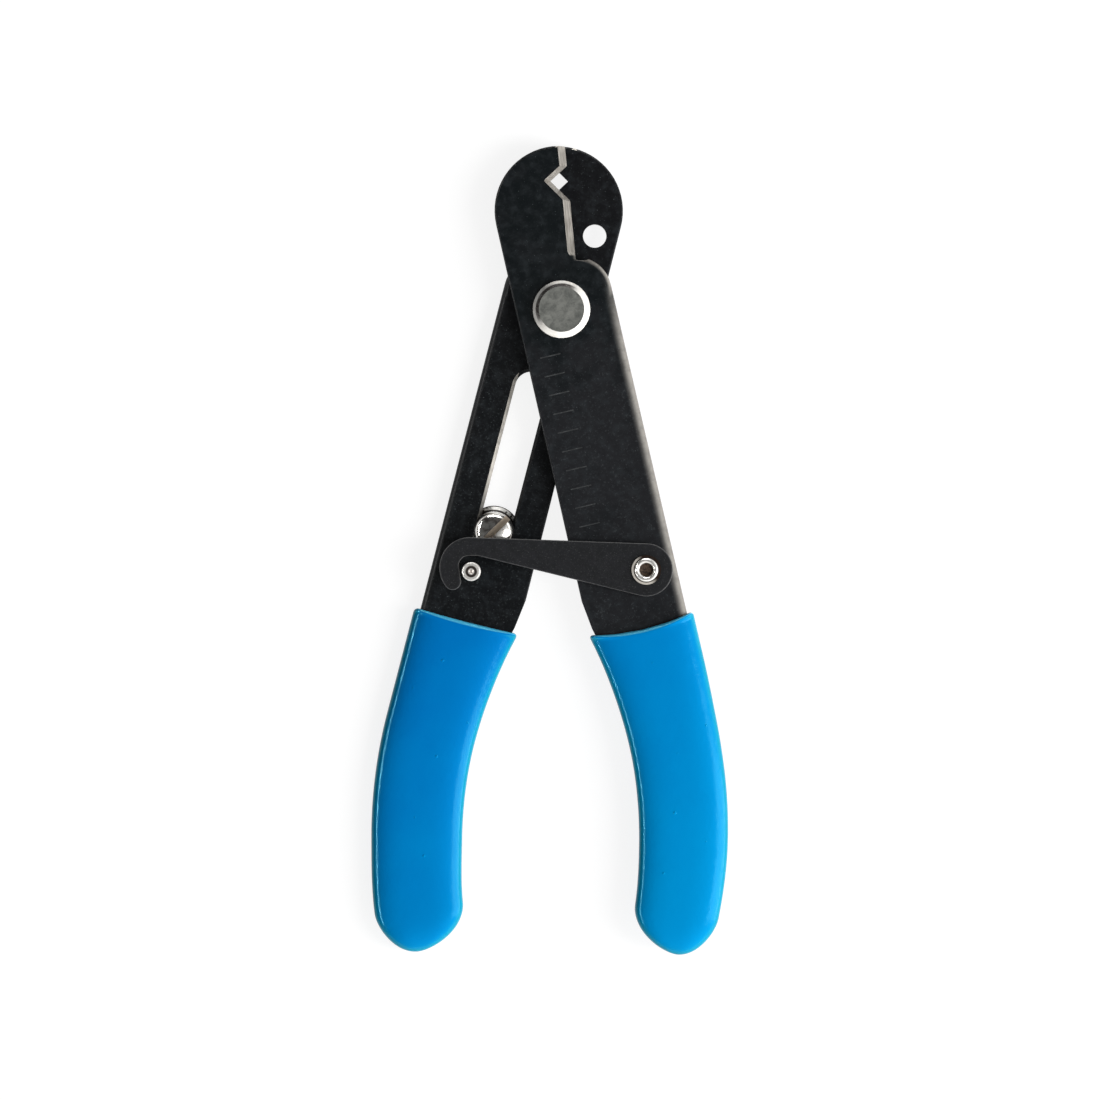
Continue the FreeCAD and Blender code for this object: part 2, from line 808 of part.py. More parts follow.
def latch_rivet():
    """The latch's rivet, bored from its rolled end, from the front lever's shear face at 0."""
    bore = size("latch_rivet_bore")
    shank = size("latch_rivet_radius")
    flange = size("latch_flange_radius")
    thick = size("latch_flange_thickness")
    roll = size("latch_roll_radius")
    rise = size("latch_roll_height")
    top = THICKNESS + size("latch_washer_thickness") + size("latch_thickness")
    top = top + size("running_gap") * 2
    half = (roll - bore) * 0.5
    floor = top + thick - size("latch_bore_depth")
    profile = [
        (0, -thick),
        (flange, -thick),
        (flange, 0),
        (shank, 0),
        (shank, top),
        (flange, top),
        (flange, top + thick),
        (roll, top + thick),
        (roll - half, top + thick + rise),
        (bore, top + thick),
        (bore, floor),
        (0, floor),
    ]
    return turned("latch_rivet", profile, {7: Bend(half * 1.05), 8: Bend(half * 1.05)})


def latch_pin():
    """The pin that the hook holds, from the rear lever's back at height 0."""
    radius = size("pin_radius")
    neck = size("pin_neck_radius")
    foot = size("pin_foot_radius")
    dimple = size("pin_dimple_radius")
    arm_base = THICKNESS * 2 + size("plate_gap") + size("latch_washer_thickness")
    neck_base = arm_base - size("edge_break")
    neck_top = arm_base + size("latch_thickness") + size("running_gap") * 5
    top = neck_top + size("pin_head_height")
    edge = size("pin_head_height") * 0.6
    profile = [
        (0, 0),
        (foot, 0),
        (foot, THICKNESS),
        (radius, THICKNESS),
        (radius, neck_base),
        (neck, neck_base),
        (neck, neck_top),
        (radius, neck_top),
        (radius, top - edge),
        (radius - edge, top),
        (dimple, top),
        (0, top - size("pin_dimple_depth")),
    ]
    return turned("latch_pin", profile, {8: Bend(edge)})


# Assembly. Every sub-part is first placed about the middle line at the pivot's height.

def lever_placement(side, height):
    """Turn a lever's frame into the tool's; the rear lever is turned over."""
    spin = Rotation(Vector(0, 0, 1), SIZES["lever_angle"] * side)
    if side == REAR:
        spin = spin.multiply(Rotation(Vector(0, 1, 0), 180))
    return Placement(Vector(0, 0, height), spin)


def at(point, height, angle=0.0):
    """A placement at a point of the whole tool, turned about Z."""
    return Placement(Vector(point[0].value, point[1].value, height),
                     Rotation(Vector(0, 0, 1), angle))


def assemble():
    """Make and place every sub-part; gives the bodies and the named points of the joints."""
    thick = SIZES["plate_thickness"]
    front_base = thick + SIZES["plate_gap"]
    turn, post = latch_places()
    pivot = (size("rivet_offset"), measure(0))
    stop = to_middle((size("slot_inset"), -STOP_PLACE), REAR)
    loop = to_middle((-size("loop_hole_inset"), size("loop_hole_height")), REAR)
    washer_base = front_base + thick
    arm_base = washer_base + SIZES["latch_washer_thickness"] + SIZES["running_gap"]
    arm_angle = math.degrees(math.atan2(post[1].value - turn[1].value,
                                        post[0].value - turn[0].value))
    bodies = []

    def add(body, placement):
        body.Placement = placement
        bodies.append(body)

    add(front_lever(), lever_placement(FRONT, front_base))
    add(rear_lever(), lever_placement(REAR, thick))
    add(grip("front_grip"), lever_placement(FRONT, front_base + thick / 2))
    add(grip("rear_grip"), lever_placement(REAR, thick / 2))
    add(pivot_rivet(), at(pivot, 0))
    washer = ring("pivot_washer", size("rivet_radius") + size("rivet_fit"),
                  size("rivet_washer_radius"), size("rivet_washer_thickness"))
    add(washer, at(pivot, -SIZES["rivet_washer_thickness"]))
    add(opening_spring(), at(pivot, thick + SIZES["plate_gap"] / 2, 90.0))
    add(stop_nut(), at(stop, 0, -SIZES["lever_angle"]))
    add(stop_screw(), at(stop, front_base, SIZES["driver_slot_angle"]))
    washer = ring("latch_washer", size("latch_rivet_radius") + size("rivet_fit"),
                  size("latch_washer_radius"), size("latch_washer_thickness"))
    add(washer, at(turn, washer_base))
    add(latch_arm(), at(turn, arm_base, arm_angle))
    add(latch_rivet(), at(turn, front_base))
    add(latch_pin(), at(post, 0))
    points = {
        "pivot": Vector(pivot[0].value, pivot[1].value, 0),
        "latch": Vector(turn[0].value, turn[1].value, front_base),
        "latch_pin": Vector(post[0].value, post[1].value, thick),
        "stop": Vector(stop[0].value, stop[1].value, front_base),
        "loop_hole": Vector(loop[0].value, loop[1].value, 0),
    }
    return bodies, points


def check(bodies):
    """Refuse a document with a failed object or a body without one sound solid."""
    for item in doc.Objects:
        if "Invalid" in item.State or "Error" in item.State:
            raise RuntimeError("failed object: " + item.Label)
    for body in bodies:
        shape = body.Shape
        if shape.isNull() or not shape.isValid() or len(shape.Solids) != 1:
            raise RuntimeError("unsound shape: " + body.Label)


def main():
    bodies, points = assemble()
    doc.recompute()
    box = FreeCAD.BoundBox()
    for body in bodies:
        box.add(body.Shape.optimalBoundingBox(False))
    shift = Vector(-box.Center.x, -box.Center.y, -box.ZMin)
    for body in bodies:
        body.Placement.Base = body.Placement.Base + shift
    doc.recompute()
    check(bodies)
    os.makedirs("parts", exist_ok=True)
    for body in bodies:
        body.Shape.exportStep(os.path.join("parts", body.Label + ".step"))
        print("%-16s volume %9.3f mm3" % (body.Label, body.Shape.Volume))
    print("overall %.2f x %.2f x %.2f mm" % (box.XLength, box.YLength, box.ZLength))
    for name, point in points.items():
        place = point + shift
        print("%-10s at %.3f, %.3f, %.3f mm" % (name, place.x, place.y, place.z))


main()
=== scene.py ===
"""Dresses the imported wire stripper: finishes, dipped grips, depth marks and the studio round it."""

import math

import bmesh
import bpy
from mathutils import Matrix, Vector


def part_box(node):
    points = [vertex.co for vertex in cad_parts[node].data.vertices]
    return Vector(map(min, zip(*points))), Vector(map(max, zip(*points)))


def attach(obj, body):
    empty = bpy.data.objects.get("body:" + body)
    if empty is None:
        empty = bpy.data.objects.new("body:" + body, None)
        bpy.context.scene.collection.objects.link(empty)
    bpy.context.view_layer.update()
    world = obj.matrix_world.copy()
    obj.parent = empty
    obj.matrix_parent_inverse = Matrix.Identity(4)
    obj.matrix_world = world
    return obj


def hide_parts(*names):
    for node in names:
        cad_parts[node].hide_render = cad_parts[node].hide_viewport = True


bl_info = {
    "name": "Wire stripper",
    "version": (1, 0, 0),
    "blender": (4, 5, 0),
    "location": "View3D > Sidebar > Wire stripper",
    "description": "Finishes and grips of a small adjustable wire stripper",
    "category": "Object",
}

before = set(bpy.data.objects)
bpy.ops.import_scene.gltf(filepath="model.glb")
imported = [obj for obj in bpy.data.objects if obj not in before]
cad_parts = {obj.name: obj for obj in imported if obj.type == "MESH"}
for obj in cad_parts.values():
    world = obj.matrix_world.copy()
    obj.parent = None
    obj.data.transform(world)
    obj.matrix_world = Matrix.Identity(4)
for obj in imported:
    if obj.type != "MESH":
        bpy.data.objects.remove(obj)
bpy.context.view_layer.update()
MM = 0.001
FRONT, REAR = 1, -1
ORIGIN = (0.0, 0.0, 0.0)

# Lines of the levers that the finishes and the grips follow, in millimetres. The levers cross at
# CROSSING on the tool's middle line, and each leans LEAN degrees away from it.
CROSSING = 38.623
LEAN = 13.8
GRIP_MOUTH = 52.0
GRIP_CREST = 69.6
INNER_CENTRE, INNER_RADIUS = -74.75, 70.0
OUTER_CENTRE, OUTER_RADIUS = -68.75, 79.0
OUTER_SIDE = 10.25
END_SWEEP = 22.7
END_CENTRE, END_RADIUS = (-3.02, -98.33), 7.268
PLATE_THICKNESS = 2.2
SHANK_SIDE = 9.25
SLOT_SIDE = 3.55
SHOULDER_CENTRE, SHOULDER_RADIUS = (3.62, 2.0), 5.63
EDGE_TILT, EDGE_OVERLAP, NOTCH_HEIGHT = 6.2, 1.45, 20.6
LINE_LEFT, LINE_FIRST = -4.54, -6.9
LINE_LENGTH, LINE_WIDTH, LINE_DEPTH = 3.5, 0.25, 0.08
PIVOT = (0.64, CROSSING, 0.0)
STOP = (-9.772, 2.821, 0.0)
STOP_HEAD_BASE, STOP_SLOT_FLOOR, STOP_HEAD_RADIUS = 3.45, 5.3, 3.25
LATCH = (14.779, -2.972, 0.0)
LATCH_RIVET_TOP = 7.41
LATCH_BORE = 1.1
LATCH_PIN = (-13.277, -3.609, 0.0)

# Where a finish changes, from none of the change to all of it, in millimetres: up a shank from the
# crossing, out from a shank's line, up the jaw from the crossing or in from its cutting edge.
WARMER_DOWN, GRAIN_DOWN = (12.0, -26.0), (2.0, -16.0)
RUBBED_AND_HIGHLIT_DOWN, ROUNDED_DOWN = (5.0, -10.0), (4.0, -2.0)
SHOULDER_FOOT, SHOULDER_TOP, SHOULDER_SIDE = (-1.0, 3.0), (8.4, 7.8), (4.2, 5.0)
SLOT_RUBBED_AND_HIGHLIT_UP = (-34.0, -27.0)
JAW_ROOT, JAW_TOP, NOTCH_TOP = (8.6, 8.9), (25.9, 25.7), (23.8, 23.6)
BEVEL_REACH, NOTCH_REACH, LAND_REACH = (-2.0, -1.8), (-3.9, -3.7), (-1.7, -1.5)
VINYL_MOUTH = (-16.0, -14.0)
# The same as distances from the middle of a rivet, a nut or a pin.
# These bound painted shade on the pivot rivet's bevel, a painted highlight band on the nut and a painted
# shade line on the latch rivet's flange.
PIVOT_SHADE = (4.24, 4.08)
NUT_HIGHLIGHT_START, NUT_HIGHLIGHT_END = (3.50, 3.62), (4.10, 4.00)
ROLL_EDGE, FLANGE_GAP = (1.86, 1.92), (2.08, 2.00)
PIN_DIMPLE, GROOVE_START, GROOVE_END = (0.46, 0.30), (0.42, 0.58), (1.02, 0.86)
# The rear lever's outer edge, away from the light, gets this share of the front one's light
# steel, rubbing and painted highlight. Where an edge is rubbed and highlit, the bump lowers it by
# EDGE_ROUNDING millimetres.
REAR_RUB_AND_HIGHLIGHT = 0.02
EDGE_ROUNDING = 0.24

# How a dipped grip is laid over its lever, in millimetres. The sag and the trims run down the grip
# from its mouth. The plug is the flat section that closes the skin round the tang, and the lip's
# depth is a share of its radius.
END_SHORT = {FRONT: 0.28, REAR: 0.22}
SAG_ENDS = 9.0
BODY_TRIM, TAIL_TRIM_START, TAIL_TRIM_PAST = (8.0, 24.0), 36.0, 2.0
PLUG_DEPTH, PLUG_SIDE, PLUG_PLAY, PLUG_POWER = 1.6, 0.94, 0.06, 14.0
MOUTH_SINK = 0.3
LIP_STEPS, LIP_DEPTH, LIP_SQUARENESS = 8, 0.9, 5
# Pimples grow where the vinyl is this level, at up to this many to the square metre.
PIMPLE_LEVEL, PIMPLE_DENSITY = 0.97, 40000.0
MARK_THICKNESS = 0.03

# The stage, in metres. The lights point at LIT_POINT, and the picture is FRAMED_HEIGHT up.
LIT_POINT = (0.0, 0.0, 0.003)
CAMERA_SHIFT, FRAMED_HEIGHT = (-0.00070, 0.00001), 0.0045
FLOOR_HALF, FLOOR_GREY, FLOOR_GLOW = 3.0, 0.27, 0.85
SENSOR_WIDTH = 36.0
# The ways that the room's bright side and its low band face, and where each of them fades.
BRIGHT_WAY, BRIGHT_FADE = (0.78, -0.56, -0.28), (-0.45, 0.65)
BAND_WAY, BAND_FADE, BAND_HEIGHT = (0.72, -0.69, 0.0), (-0.45, 0.20), (0.55, 0.25)


def linear(red, green, blue):
    """A colour as the eye reads it, from 0 to 255, as the light values that a shader takes."""
    values = []
    for part in (red, green, blue):
        part /= 255
        values.append(part / 12.92 if part <= 0.04045 else ((part + 0.055) / 1.055) ** 2.4)
    return (*values, 1.0)


def to_row(point, side, height=0.0):
    """A point of a lever, in millimetres along and across its shank, in the row frame in metres."""
    lean = math.radians(LEAN)
    across = point[0] * math.cos(lean) - point[1] * math.sin(lean)
    up = point[0] * math.sin(lean) + point[1] * math.cos(lean) + CROSSING
    return Vector((across * side * MM, up * MM, height * MM))


class Nodes:
    """Clears a node tree, adds nodes to it and joins them."""

    def __init__(self, tree):
        self.tree = tree
        tree.nodes.clear()

    def feed(self, socket, value):
        """Put a number, a colour or another node's output into a socket."""
        if isinstance(value, bpy.types.NodeSocket):
            self.tree.links.new(value, socket)
        else:
            socket.default_value = value

    def add(self, kind, inputs=(), **settings):
        """Add a node; inputs pairs a socket's name or number with a value or an output."""
        node = self.tree.nodes.new(kind)
        for key, value in settings.items():
            setattr(node, key, value)
        for key, value in dict(inputs).items():
            self.feed(node.inputs[key], value)
        return node

    def vector(self, operation, first, second=ORIGIN):
        return self.add("ShaderNodeVectorMath", {0: first, 1: second}, operation=operation).outputs

    def parts(self, vector):
        return self.add("ShaderNodeSeparateXYZ", {0: vector}).outputs

    def range(self, value, low, high, start=0.0, end=1.0):
        """Spread a value between two limits over a new pair of limits, smoothly."""
        return self.add("ShaderNodeMapRange",
                        {"Value": value, "From Min": low, "From Max": high, "To Min": start,
                         "To Max": end}, interpolation_type="SMOOTHSTEP").outputs[0]

    def math(self, operation, first, second=0.0):
        return self.add("ShaderNodeMath", {0: first, 1: second}, operation=operation).outputs[0]

    def times(self, product, *values):
        """Multiply numbers, such as masks that all have to hold."""
        for value in values:
            product = self.math("MULTIPLY", product, value)
        return product

    def either(self, first, second):
        return self.math("MAXIMUM", first, second)


# Procedural finishes.

class Look(Nodes):
    """One procedural material and the few kinds of node that it is built from."""

    def __init__(self, name):
        self.material = bpy.data.materials.new(name)
        self.material.use_nodes = True
        super().__init__(self.material.node_tree)
        self.shader = self.add("ShaderNodeBsdfPrincipled")
        self.add("ShaderNodeOutputMaterial", {"Surface": self.shader.outputs["BSDF"]})

    def set(self, **values):
        """Set the shader's own sockets by name, with _ for a space."""
        for key, value in values.items():
            self.feed(self.shader.inputs[key.replace("_", " ")], value)

    def place(self, lean=0.0, middle=ORIGIN, stretch=None):
        """Object coordinates in millimetres about a point, turned back by a lever's lean."""
        coordinates = self.add("ShaderNodeTexCoord").outputs["Object"]
        moved = self.vector("SUBTRACT", coordinates, [value * MM for value in middle])[0]
        turned = self.add("ShaderNodeMapping",
                          {"Vector": moved, "Rotation": (0.0, 0.0, math.radians(-lean)),
                           "Scale": (1 / MM, 1 / MM, 1 / MM)}, vector_type="POINT").outputs[0]
        if stretch is None:
            return turned
        return self.add("ShaderNodeMapping", {"Vector": turned, "Scale": stretch},
                        vector_type="POINT").outputs[0]

    def noise(self, place, scale, detail=3.0, rough=0.5, distortion=0.0):
        return self.add("ShaderNodeTexNoise",
                        {"Vector": place, "Scale": scale, "Detail": detail, "Roughness": rough,
                         "Distortion": distortion}).outputs[0]

    def mix(self, factor, first, second):
        """Mix two colours."""
        return self.add("ShaderNodeMix", {"Factor": factor, 6: first, 7: second},
                        data_type="RGBA").outputs[2]

    def fade(self, value, low, high, first, second, most=1.0):
        """Go from one colour towards another, by as much as most, between two limits."""
        return self.mix(self.range(value, low, high, 0.0, most), first, second)

    def blend(self, factor, first, second):
        """Mix two numbers."""
        return self.add("ShaderNodeMix", {"Factor": factor, 2: first, 3: second},
                        data_type="FLOAT").outputs[0]

    def far(self, place, point=(0.0, 0.0)):
        """Distance across the plate from a point, in millimetres."""
        away = self.vector("SUBTRACT", place, (*point, 0.0))[0]
        flat = self.vector("MULTIPLY", away, (1.0, 1.0, 0.0))[0]
        return self.vector("LENGTH", flat)["Value"]

    def upright(self, kind="True Normal"):
        """1 on a level face, 0 on a wall, from the face's own normal or the smooth Normal."""
        normal = self.parts(self.add("ShaderNodeNewGeometry").outputs[kind])
        return self.math("ABSOLUTE", normal["Z"])

    def bump(self, height, distance):
        """Raise the surface by a height times a distance in millimetres."""
        bump = self.add("ShaderNodeBump",
                        {"Strength": 1.0, "Distance": distance * MM, "Height": height})
        self.feed(self.shader.inputs["Normal"], bump.outputs[0])


def oxide_colour(look, settings, side, place, along, mottle):
    """Black oxide in slow clouds, with mottling, flecks, grain and specks of dust."""
    cloud = look.noise(place, 0.16, 4.0, 0.6)
    warmth = look.math("ADD", look.range(cloud, 0.36, 0.66, 0.0, 0.7),
                       look.range(along, *WARMER_DOWN, -0.35, 0.65))
    if side == FRONT:
        oxide = look.fade(warmth, 0.0, 1.0, settings.oxide_cool, settings.oxide_warm)
    else:
        oxide = look.fade(warmth, 0.0, 1.0, settings.oxide_rear, settings.oxide_cool, 0.35)
    oxide = look.fade(mottle, 0.44, 0.72, oxide, settings.oxide_light, 0.42)
    fleck = look.noise(place, 3.4, 3.0, 0.7)
    oxide = look.fade(fleck, 0.62, 0.76, oxide, settings.oxide_light, 0.6)
    grain = look.range(look.noise(place, 2.4, 3.0, 0.75), 0.54, 0.74, 0.0, 0.32)
    grain = look.times(grain, look.range(along, *GRAIN_DOWN, 0.25, 1.0))
    oxide = look.mix(grain, oxide, settings.oxide_speck)
    dust = look.noise(place, 4.6, 1.0, 0.4)
    return look.fade(dust, 0.72, 0.78, oxide, settings.oxide_speck, 0.8)


def rubbed_and_highlit_places(look, wear, side, outer, along, patchy, shoulder, lift):
    """Painted highlights of light steel, patchy like rubbing: outer edge, shoulder, rear slot."""
    edge = look.times(look.range(along, *RUBBED_AND_HIGHLIT_DOWN),
                      look.range(outer, SHANK_SIDE - 1.65, SHANK_SIDE + 0.5))
    rubbed = look.times(look.either(edge, shoulder), patchy, wear)
    if side == FRONT:
        return rubbed
    # The stop has rubbed the outer chamfer of its slot bright. Only that side, which faces the light,
    # is painted, so the bright chamfer is also a painted highlight.
    chamfer = look.times(look.range(outer, SLOT_SIDE - 0.15, SLOT_SIDE - 0.05),
                         look.range(outer, SLOT_SIDE + 0.65, SLOT_SIDE + 0.55),
                         look.range(lift, 0.97, 0.85),
                         look.range(along, *SLOT_RUBBED_AND_HIGHLIT_UP, 0.3, 1.0), patchy)
    return look.either(rubbed, chamfer)


def ground_places(look, side, lift):
    """Where the cutting edge and its notch are ground through to the steel."""
    parts = look.parts(look.place(0.0, (0.0, CROSSING, 0.0)))
    height = parts["Y"]
    drift = look.times(look.math("SUBTRACT", NOTCH_HEIGHT, height),
                       math.tan(math.radians(EDGE_TILT)))
    sideways = look.times(parts["X"], float(side))
    inside = look.math("SUBTRACT", look.math("SUBTRACT", sideways, drift), EDGE_OVERLAP)
    notch = look.times(look.range(inside, *NOTCH_REACH), look.range(height, *NOTCH_TOP))
    near = look.either(look.range(inside, *BEVEL_REACH), notch)
    below_rim = look.either(look.range(height, *JAW_TOP), look.range(inside, *LAND_REACH))
    return look.times(near, look.range(height, *JAW_ROOT), look.range(lift, 0.985, 0.95),
                      below_rim)


def black_oxide_lever(settings, side):
    """Blackened plate with fine mottling, a ground bright cutting edge, and rounded edges that are
    painted light steel as a highlight, patchy like rubbing.
    """
    look = Look("black_oxide_front" if side == FRONT else "black_oxide_rear")
    place = look.place(LEAN * side, (0.0, CROSSING, 0.0))
    mottle = look.noise(place, 0.75, 5.0, 0.62)
    parts = look.parts(place)
    along = parts["Y"]
    outer = look.times(parts["X"], float(side))
    lift = look.upright()
    oxide = oxide_colour(look, settings, side, place, along, mottle)
    rim = look.far(place, (SHOULDER_CENTRE[0] * side, SHOULDER_CENTRE[1]))
    shoulder = look.times(look.range(rim, SHOULDER_RADIUS - 0.70, SHOULDER_RADIUS - 0.15),
                          look.range(along, *SHOULDER_FOOT),
                          look.range(along, *SHOULDER_TOP),
                          look.range(outer, *SHOULDER_SIDE))
    # The light steel on the edges is a painted highlight, patchy like rubbing, and is nearly left off
    # the rear lever's edge, which faces away from the light.
    wear = settings.edge_rub_and_highlight * (1.0 if side == FRONT else REAR_RUB_AND_HIGHLIGHT)
    patchy = look.range(mottle, 0.30, 0.62, 0.72, 1.0)
    rubbed = rubbed_and_highlit_places(look, wear, side, outer, along, patchy, shoulder, lift)
    ground = ground_places(look, side, lift)
    streak_place = look.place(EDGE_TILT * side, (0.0, CROSSING, 0.0), (3.0, 0.22, 3.0))
    streak = look.noise(streak_place, 1.6, 4.0, 0.65)
    steel = look.fade(streak, 0.32, 0.70, settings.steel_dark, settings.steel_light)
    # The painted highlight of light steel goes over the oxide here.
    worn = look.mix(rubbed, oxide, settings.steel_light)
    bright = look.either(look.times(ground, 0.30), look.times(rubbed, 0.85))
    rough = look.range(mottle, 0.35, 0.75, settings.oxide_roughness,
                       settings.oxide_roughness + 0.14)
    look.set(Base_Color=look.mix(ground, worn, steel), Metallic=bright,
             Roughness=look.blend(ground, rough, look.range(streak, 0.3, 0.7, 0.30, 0.46)),
             Specular_IOR_Level=0.15)
    pebble = look.blend(ground, look.noise(place, 5.5, 3.0, 0.6), streak)
    relief = look.times(pebble, 0.012)
    if side == FRONT:
        edge = look.times(look.range(along, *ROUNDED_DOWN),
                          look.range(outer, SHANK_SIDE - 1.7, SHANK_SIDE))
        relief = look.math("SUBTRACT", relief, look.times(edge, EDGE_ROUNDING))
    relief = look.math("SUBTRACT", relief, look.times(shoulder, EDGE_ROUNDING))
    look.bump(relief, 1.0)
    return look.material


def latch_black(settings):
    """Matte black of the latch arm, its sloped edges painted lighter as a patchy highlight."""
    look = Look("latch_black")
    place = look.place()
    fine = look.noise(place, 4.5, 3.0, 0.7)
    shade = look.fade(look.noise(place, 0.9, 5.0, 0.6), 0.35, 0.7, settings.latch_dark,
                      settings.latch_light)
    shade = look.fade(fine, 0.56, 0.74, shade, settings.latch_flecks_and_sheen, 0.22)
    lift = look.upright()
    # Painted highlight: the sloped edges take the lighter colour, in patches.
    rub_and_sheen = look.times(look.range(lift, 0.99, 0.6, 0.0, 0.5),
                     look.range(fine, 0.35, 0.6, 0.5, 1.0))
    look.set(Base_Color=look.mix(rub_and_sheen, shade, settings.latch_flecks_and_sheen),
             Roughness=look.range(fine, 0.3, 0.75, 0.46, 0.62),
             Metallic=look.range(lift, 0.97, 0.5, 0.0, 0.5), Specular_IOR_Level=0.22)
    look.bump(look.noise(place, 5.0, 3.0, 0.6), 0.012)
    return look.material


def rivet_zinc(settings):
    """Rolled rivet head: a dull mottled face inside a burnished bevel."""
    look = Look("rivet_zinc")
    place = look.place(0.0, PIVOT)
    mottle = look.noise(place, 0.8, 5.0, 0.65, 0.4)
    grain = look.noise(place, 3.6, 3.0, 0.7)
    face = look.fade(mottle, 0.30, 0.72, settings.zinc_dark, settings.zinc_light)
    face = look.fade(grain, 0.45, 0.8, face, settings.zinc_light, 0.5)
    burnished = look.range(look.upright(), 0.985, 0.93)
    away = look.far(place)
    parts = look.parts(place)
    toward = look.math("SUBTRACT", look.times(parts["Y"], 0.72),
                       look.times(parts["X"], 0.69))
    # Painted shade: the bevel is painted dark brown in patches at its upper left, and only its
    # outer rim is left bright.
    painted_shade = look.times(look.range(look.math("DIVIDE", toward, away), 0.05, 0.5),
                       look.range(away, *PIVOT_SHADE),
                       look.range(mottle, 0.3, 0.55, 0.75, 1.0))
    bevel = look.fade(mottle, 0.40, 0.62, settings.nickel, settings.nickel_warm, 0.6)
    bevel = look.mix(painted_shade, bevel, settings.painted_shade_brown)
    look.set(Base_Color=look.mix(burnished, face, bevel),
             Metallic=look.blend(burnished, 0.25, look.blend(painted_shade, 0.35, 0.1)),
             Roughness=look.blend(burnished, look.range(mottle, 0.3, 0.7, 0.42, 0.58), 0.24))
    look.bump(look.times(look.math("SUBTRACT", 1.0, burnished),
                         look.math("ADD", mottle, grain)), 0.02)
    return look.material


def nickel_satin(settings):
    """Bright nickel plate with faint scuffs and handling haze."""
    look = Look("nickel_satin")
    scuff = look.noise(look.place(35.0, ORIGIN, (1.0, 0.25, 1.0)), 1.4, 5.0, 0.7)
    haze = look.noise(look.place(), 0.7, 3.0, 0.5)
    look.set(Base_Color=look.fade(haze, 0.35, 0.7, settings.nickel, settings.nickel_warm, 0.5),
             Roughness=look.range(scuff, 0.35, 0.75, 0.18, 0.34), Metallic=1.0)
    look.bump(look.math("ADD", scuff, haze), 0.004)
    return look.material


def screw_nickel(settings):
    """Crowned nickel screw head whose driver slot floor is painted a dull tan as shade."""
    look = Look("screw_nickel")
    place = look.place(0.0, STOP)
    scuff = look.noise(look.place(45.0, STOP, (0.3, 1.2, 1.0)), 1.6, 5.0, 0.7)
    plate = look.fade(look.noise(place, 0.8, 4.0, 0.6, 0.5), 0.42, 0.70, settings.nickel,
                      settings.nickel_stain, 0.75)
    depth = look.parts(place)["Z"]
    # Painted shade: the slot's floor is painted a dull tan.
    slot_floor = look.times(look.range(depth, STOP_SLOT_FLOOR, STOP_SLOT_FLOOR - 0.1),
                            look.range(depth, STOP_HEAD_BASE + 0.05, STOP_HEAD_BASE + 0.15),
                            look.range(look.upright(), 0.90, 0.96))
    rough = look.range(scuff, 0.35, 0.75, 0.13, 0.26)
    look.set(Base_Color=look.mix(slot_floor, plate, settings.slot_shade_tan),
             Metallic=look.blend(slot_floor, 1.0, 0.35),
             Roughness=look.blend(slot_floor, rough, 0.45))
    away = look.math("DIVIDE", look.far(place), STOP_HEAD_RADIUS)
    crown = look.times(away, away, look.math("SUBTRACT", 1.0, slot_floor), -0.85)
    look.bump(look.math("ADD", crown, look.times(scuff, 0.01)), 1.0)
    return look.material


def nut_nickel(settings):
    """Nut whose flange is painted dark brown as shade and dark reflection, with painted highlights
    of bright nickel in patches near its rim.
    """
    look = Look("nut_nickel")
    place = look.place(0.0, STOP)
    stain = look.noise(place, 1.0, 3.0, 0.6, 0.3)
    away = look.far(place)
    # Painted highlight: bright nickel only in patches of a band near the rim, the rest painted shade.
    bright = look.times(look.range(away, *NUT_HIGHLIGHT_START), look.range(away, *NUT_HIGHLIGHT_END),
                        look.range(stain, 0.42, 0.50))
    look.set(Base_Color=look.mix(bright, settings.painted_shade_brown, settings.nickel),
             Metallic=look.blend(bright, 0.15, 0.9), Roughness=0.3)
    look.bump(look.times(away, -0.5), 1.0)
    return look.material


def rolled_rivet(settings):
    """Rolled end of the latch's rivet, bright round its bore, which is painted dark as shade."""
    look = Look("rolled_rivet")
    place = look.place(0.0, LATCH)
    parts = look.parts(place)
    away = look.far(place)
    stain = look.noise(place, 1.6, 4.0, 0.6, 0.4)
    plate = look.fade(stain, 0.45, 0.72, settings.nickel, settings.nickel_warm, 0.4)
    # Painted shade: the bore is dark brown with tan patches.
    painted_shade = look.fade(stain, 0.35, 0.62, settings.painted_shade_brown, settings.bore_shade_tan)
    inside = look.times(look.range(away, LATCH_BORE + 0.03, LATCH_BORE - 0.05),
                        look.range(parts["Z"], LATCH_RIVET_TOP - 0.1, LATCH_RIVET_TOP - 0.5))
    # Painted light and shade: the flange is painted lit at its lower left and shaded at its upper
    # right, and a painted dark shade line parts it from the rolled end.
    toward = look.math("ADD", parts["X"], look.times(parts["Y"], 0.7))
    flange_light_and_shade = look.fade(toward, -0.9, 0.9, settings.nickel_warm, settings.painted_shade_brown)
    flange_light_and_shade = look.fade(away, *FLANGE_GAP, flange_light_and_shade, settings.painted_shade_brown)
    flange = look.range(away, *ROLL_EDGE)
    plate = look.mix(flange, plate, flange_light_and_shade)
    look.set(Base_Color=look.mix(inside, plate, painted_shade),
             Metallic=look.blend(look.either(inside, flange), 0.6, 0.1),
             Roughness=look.blend(inside, look.range(stain, 0.3, 0.7, 0.12, 0.24), 0.5))
    look.bump(stain, 0.02)
    return look.material


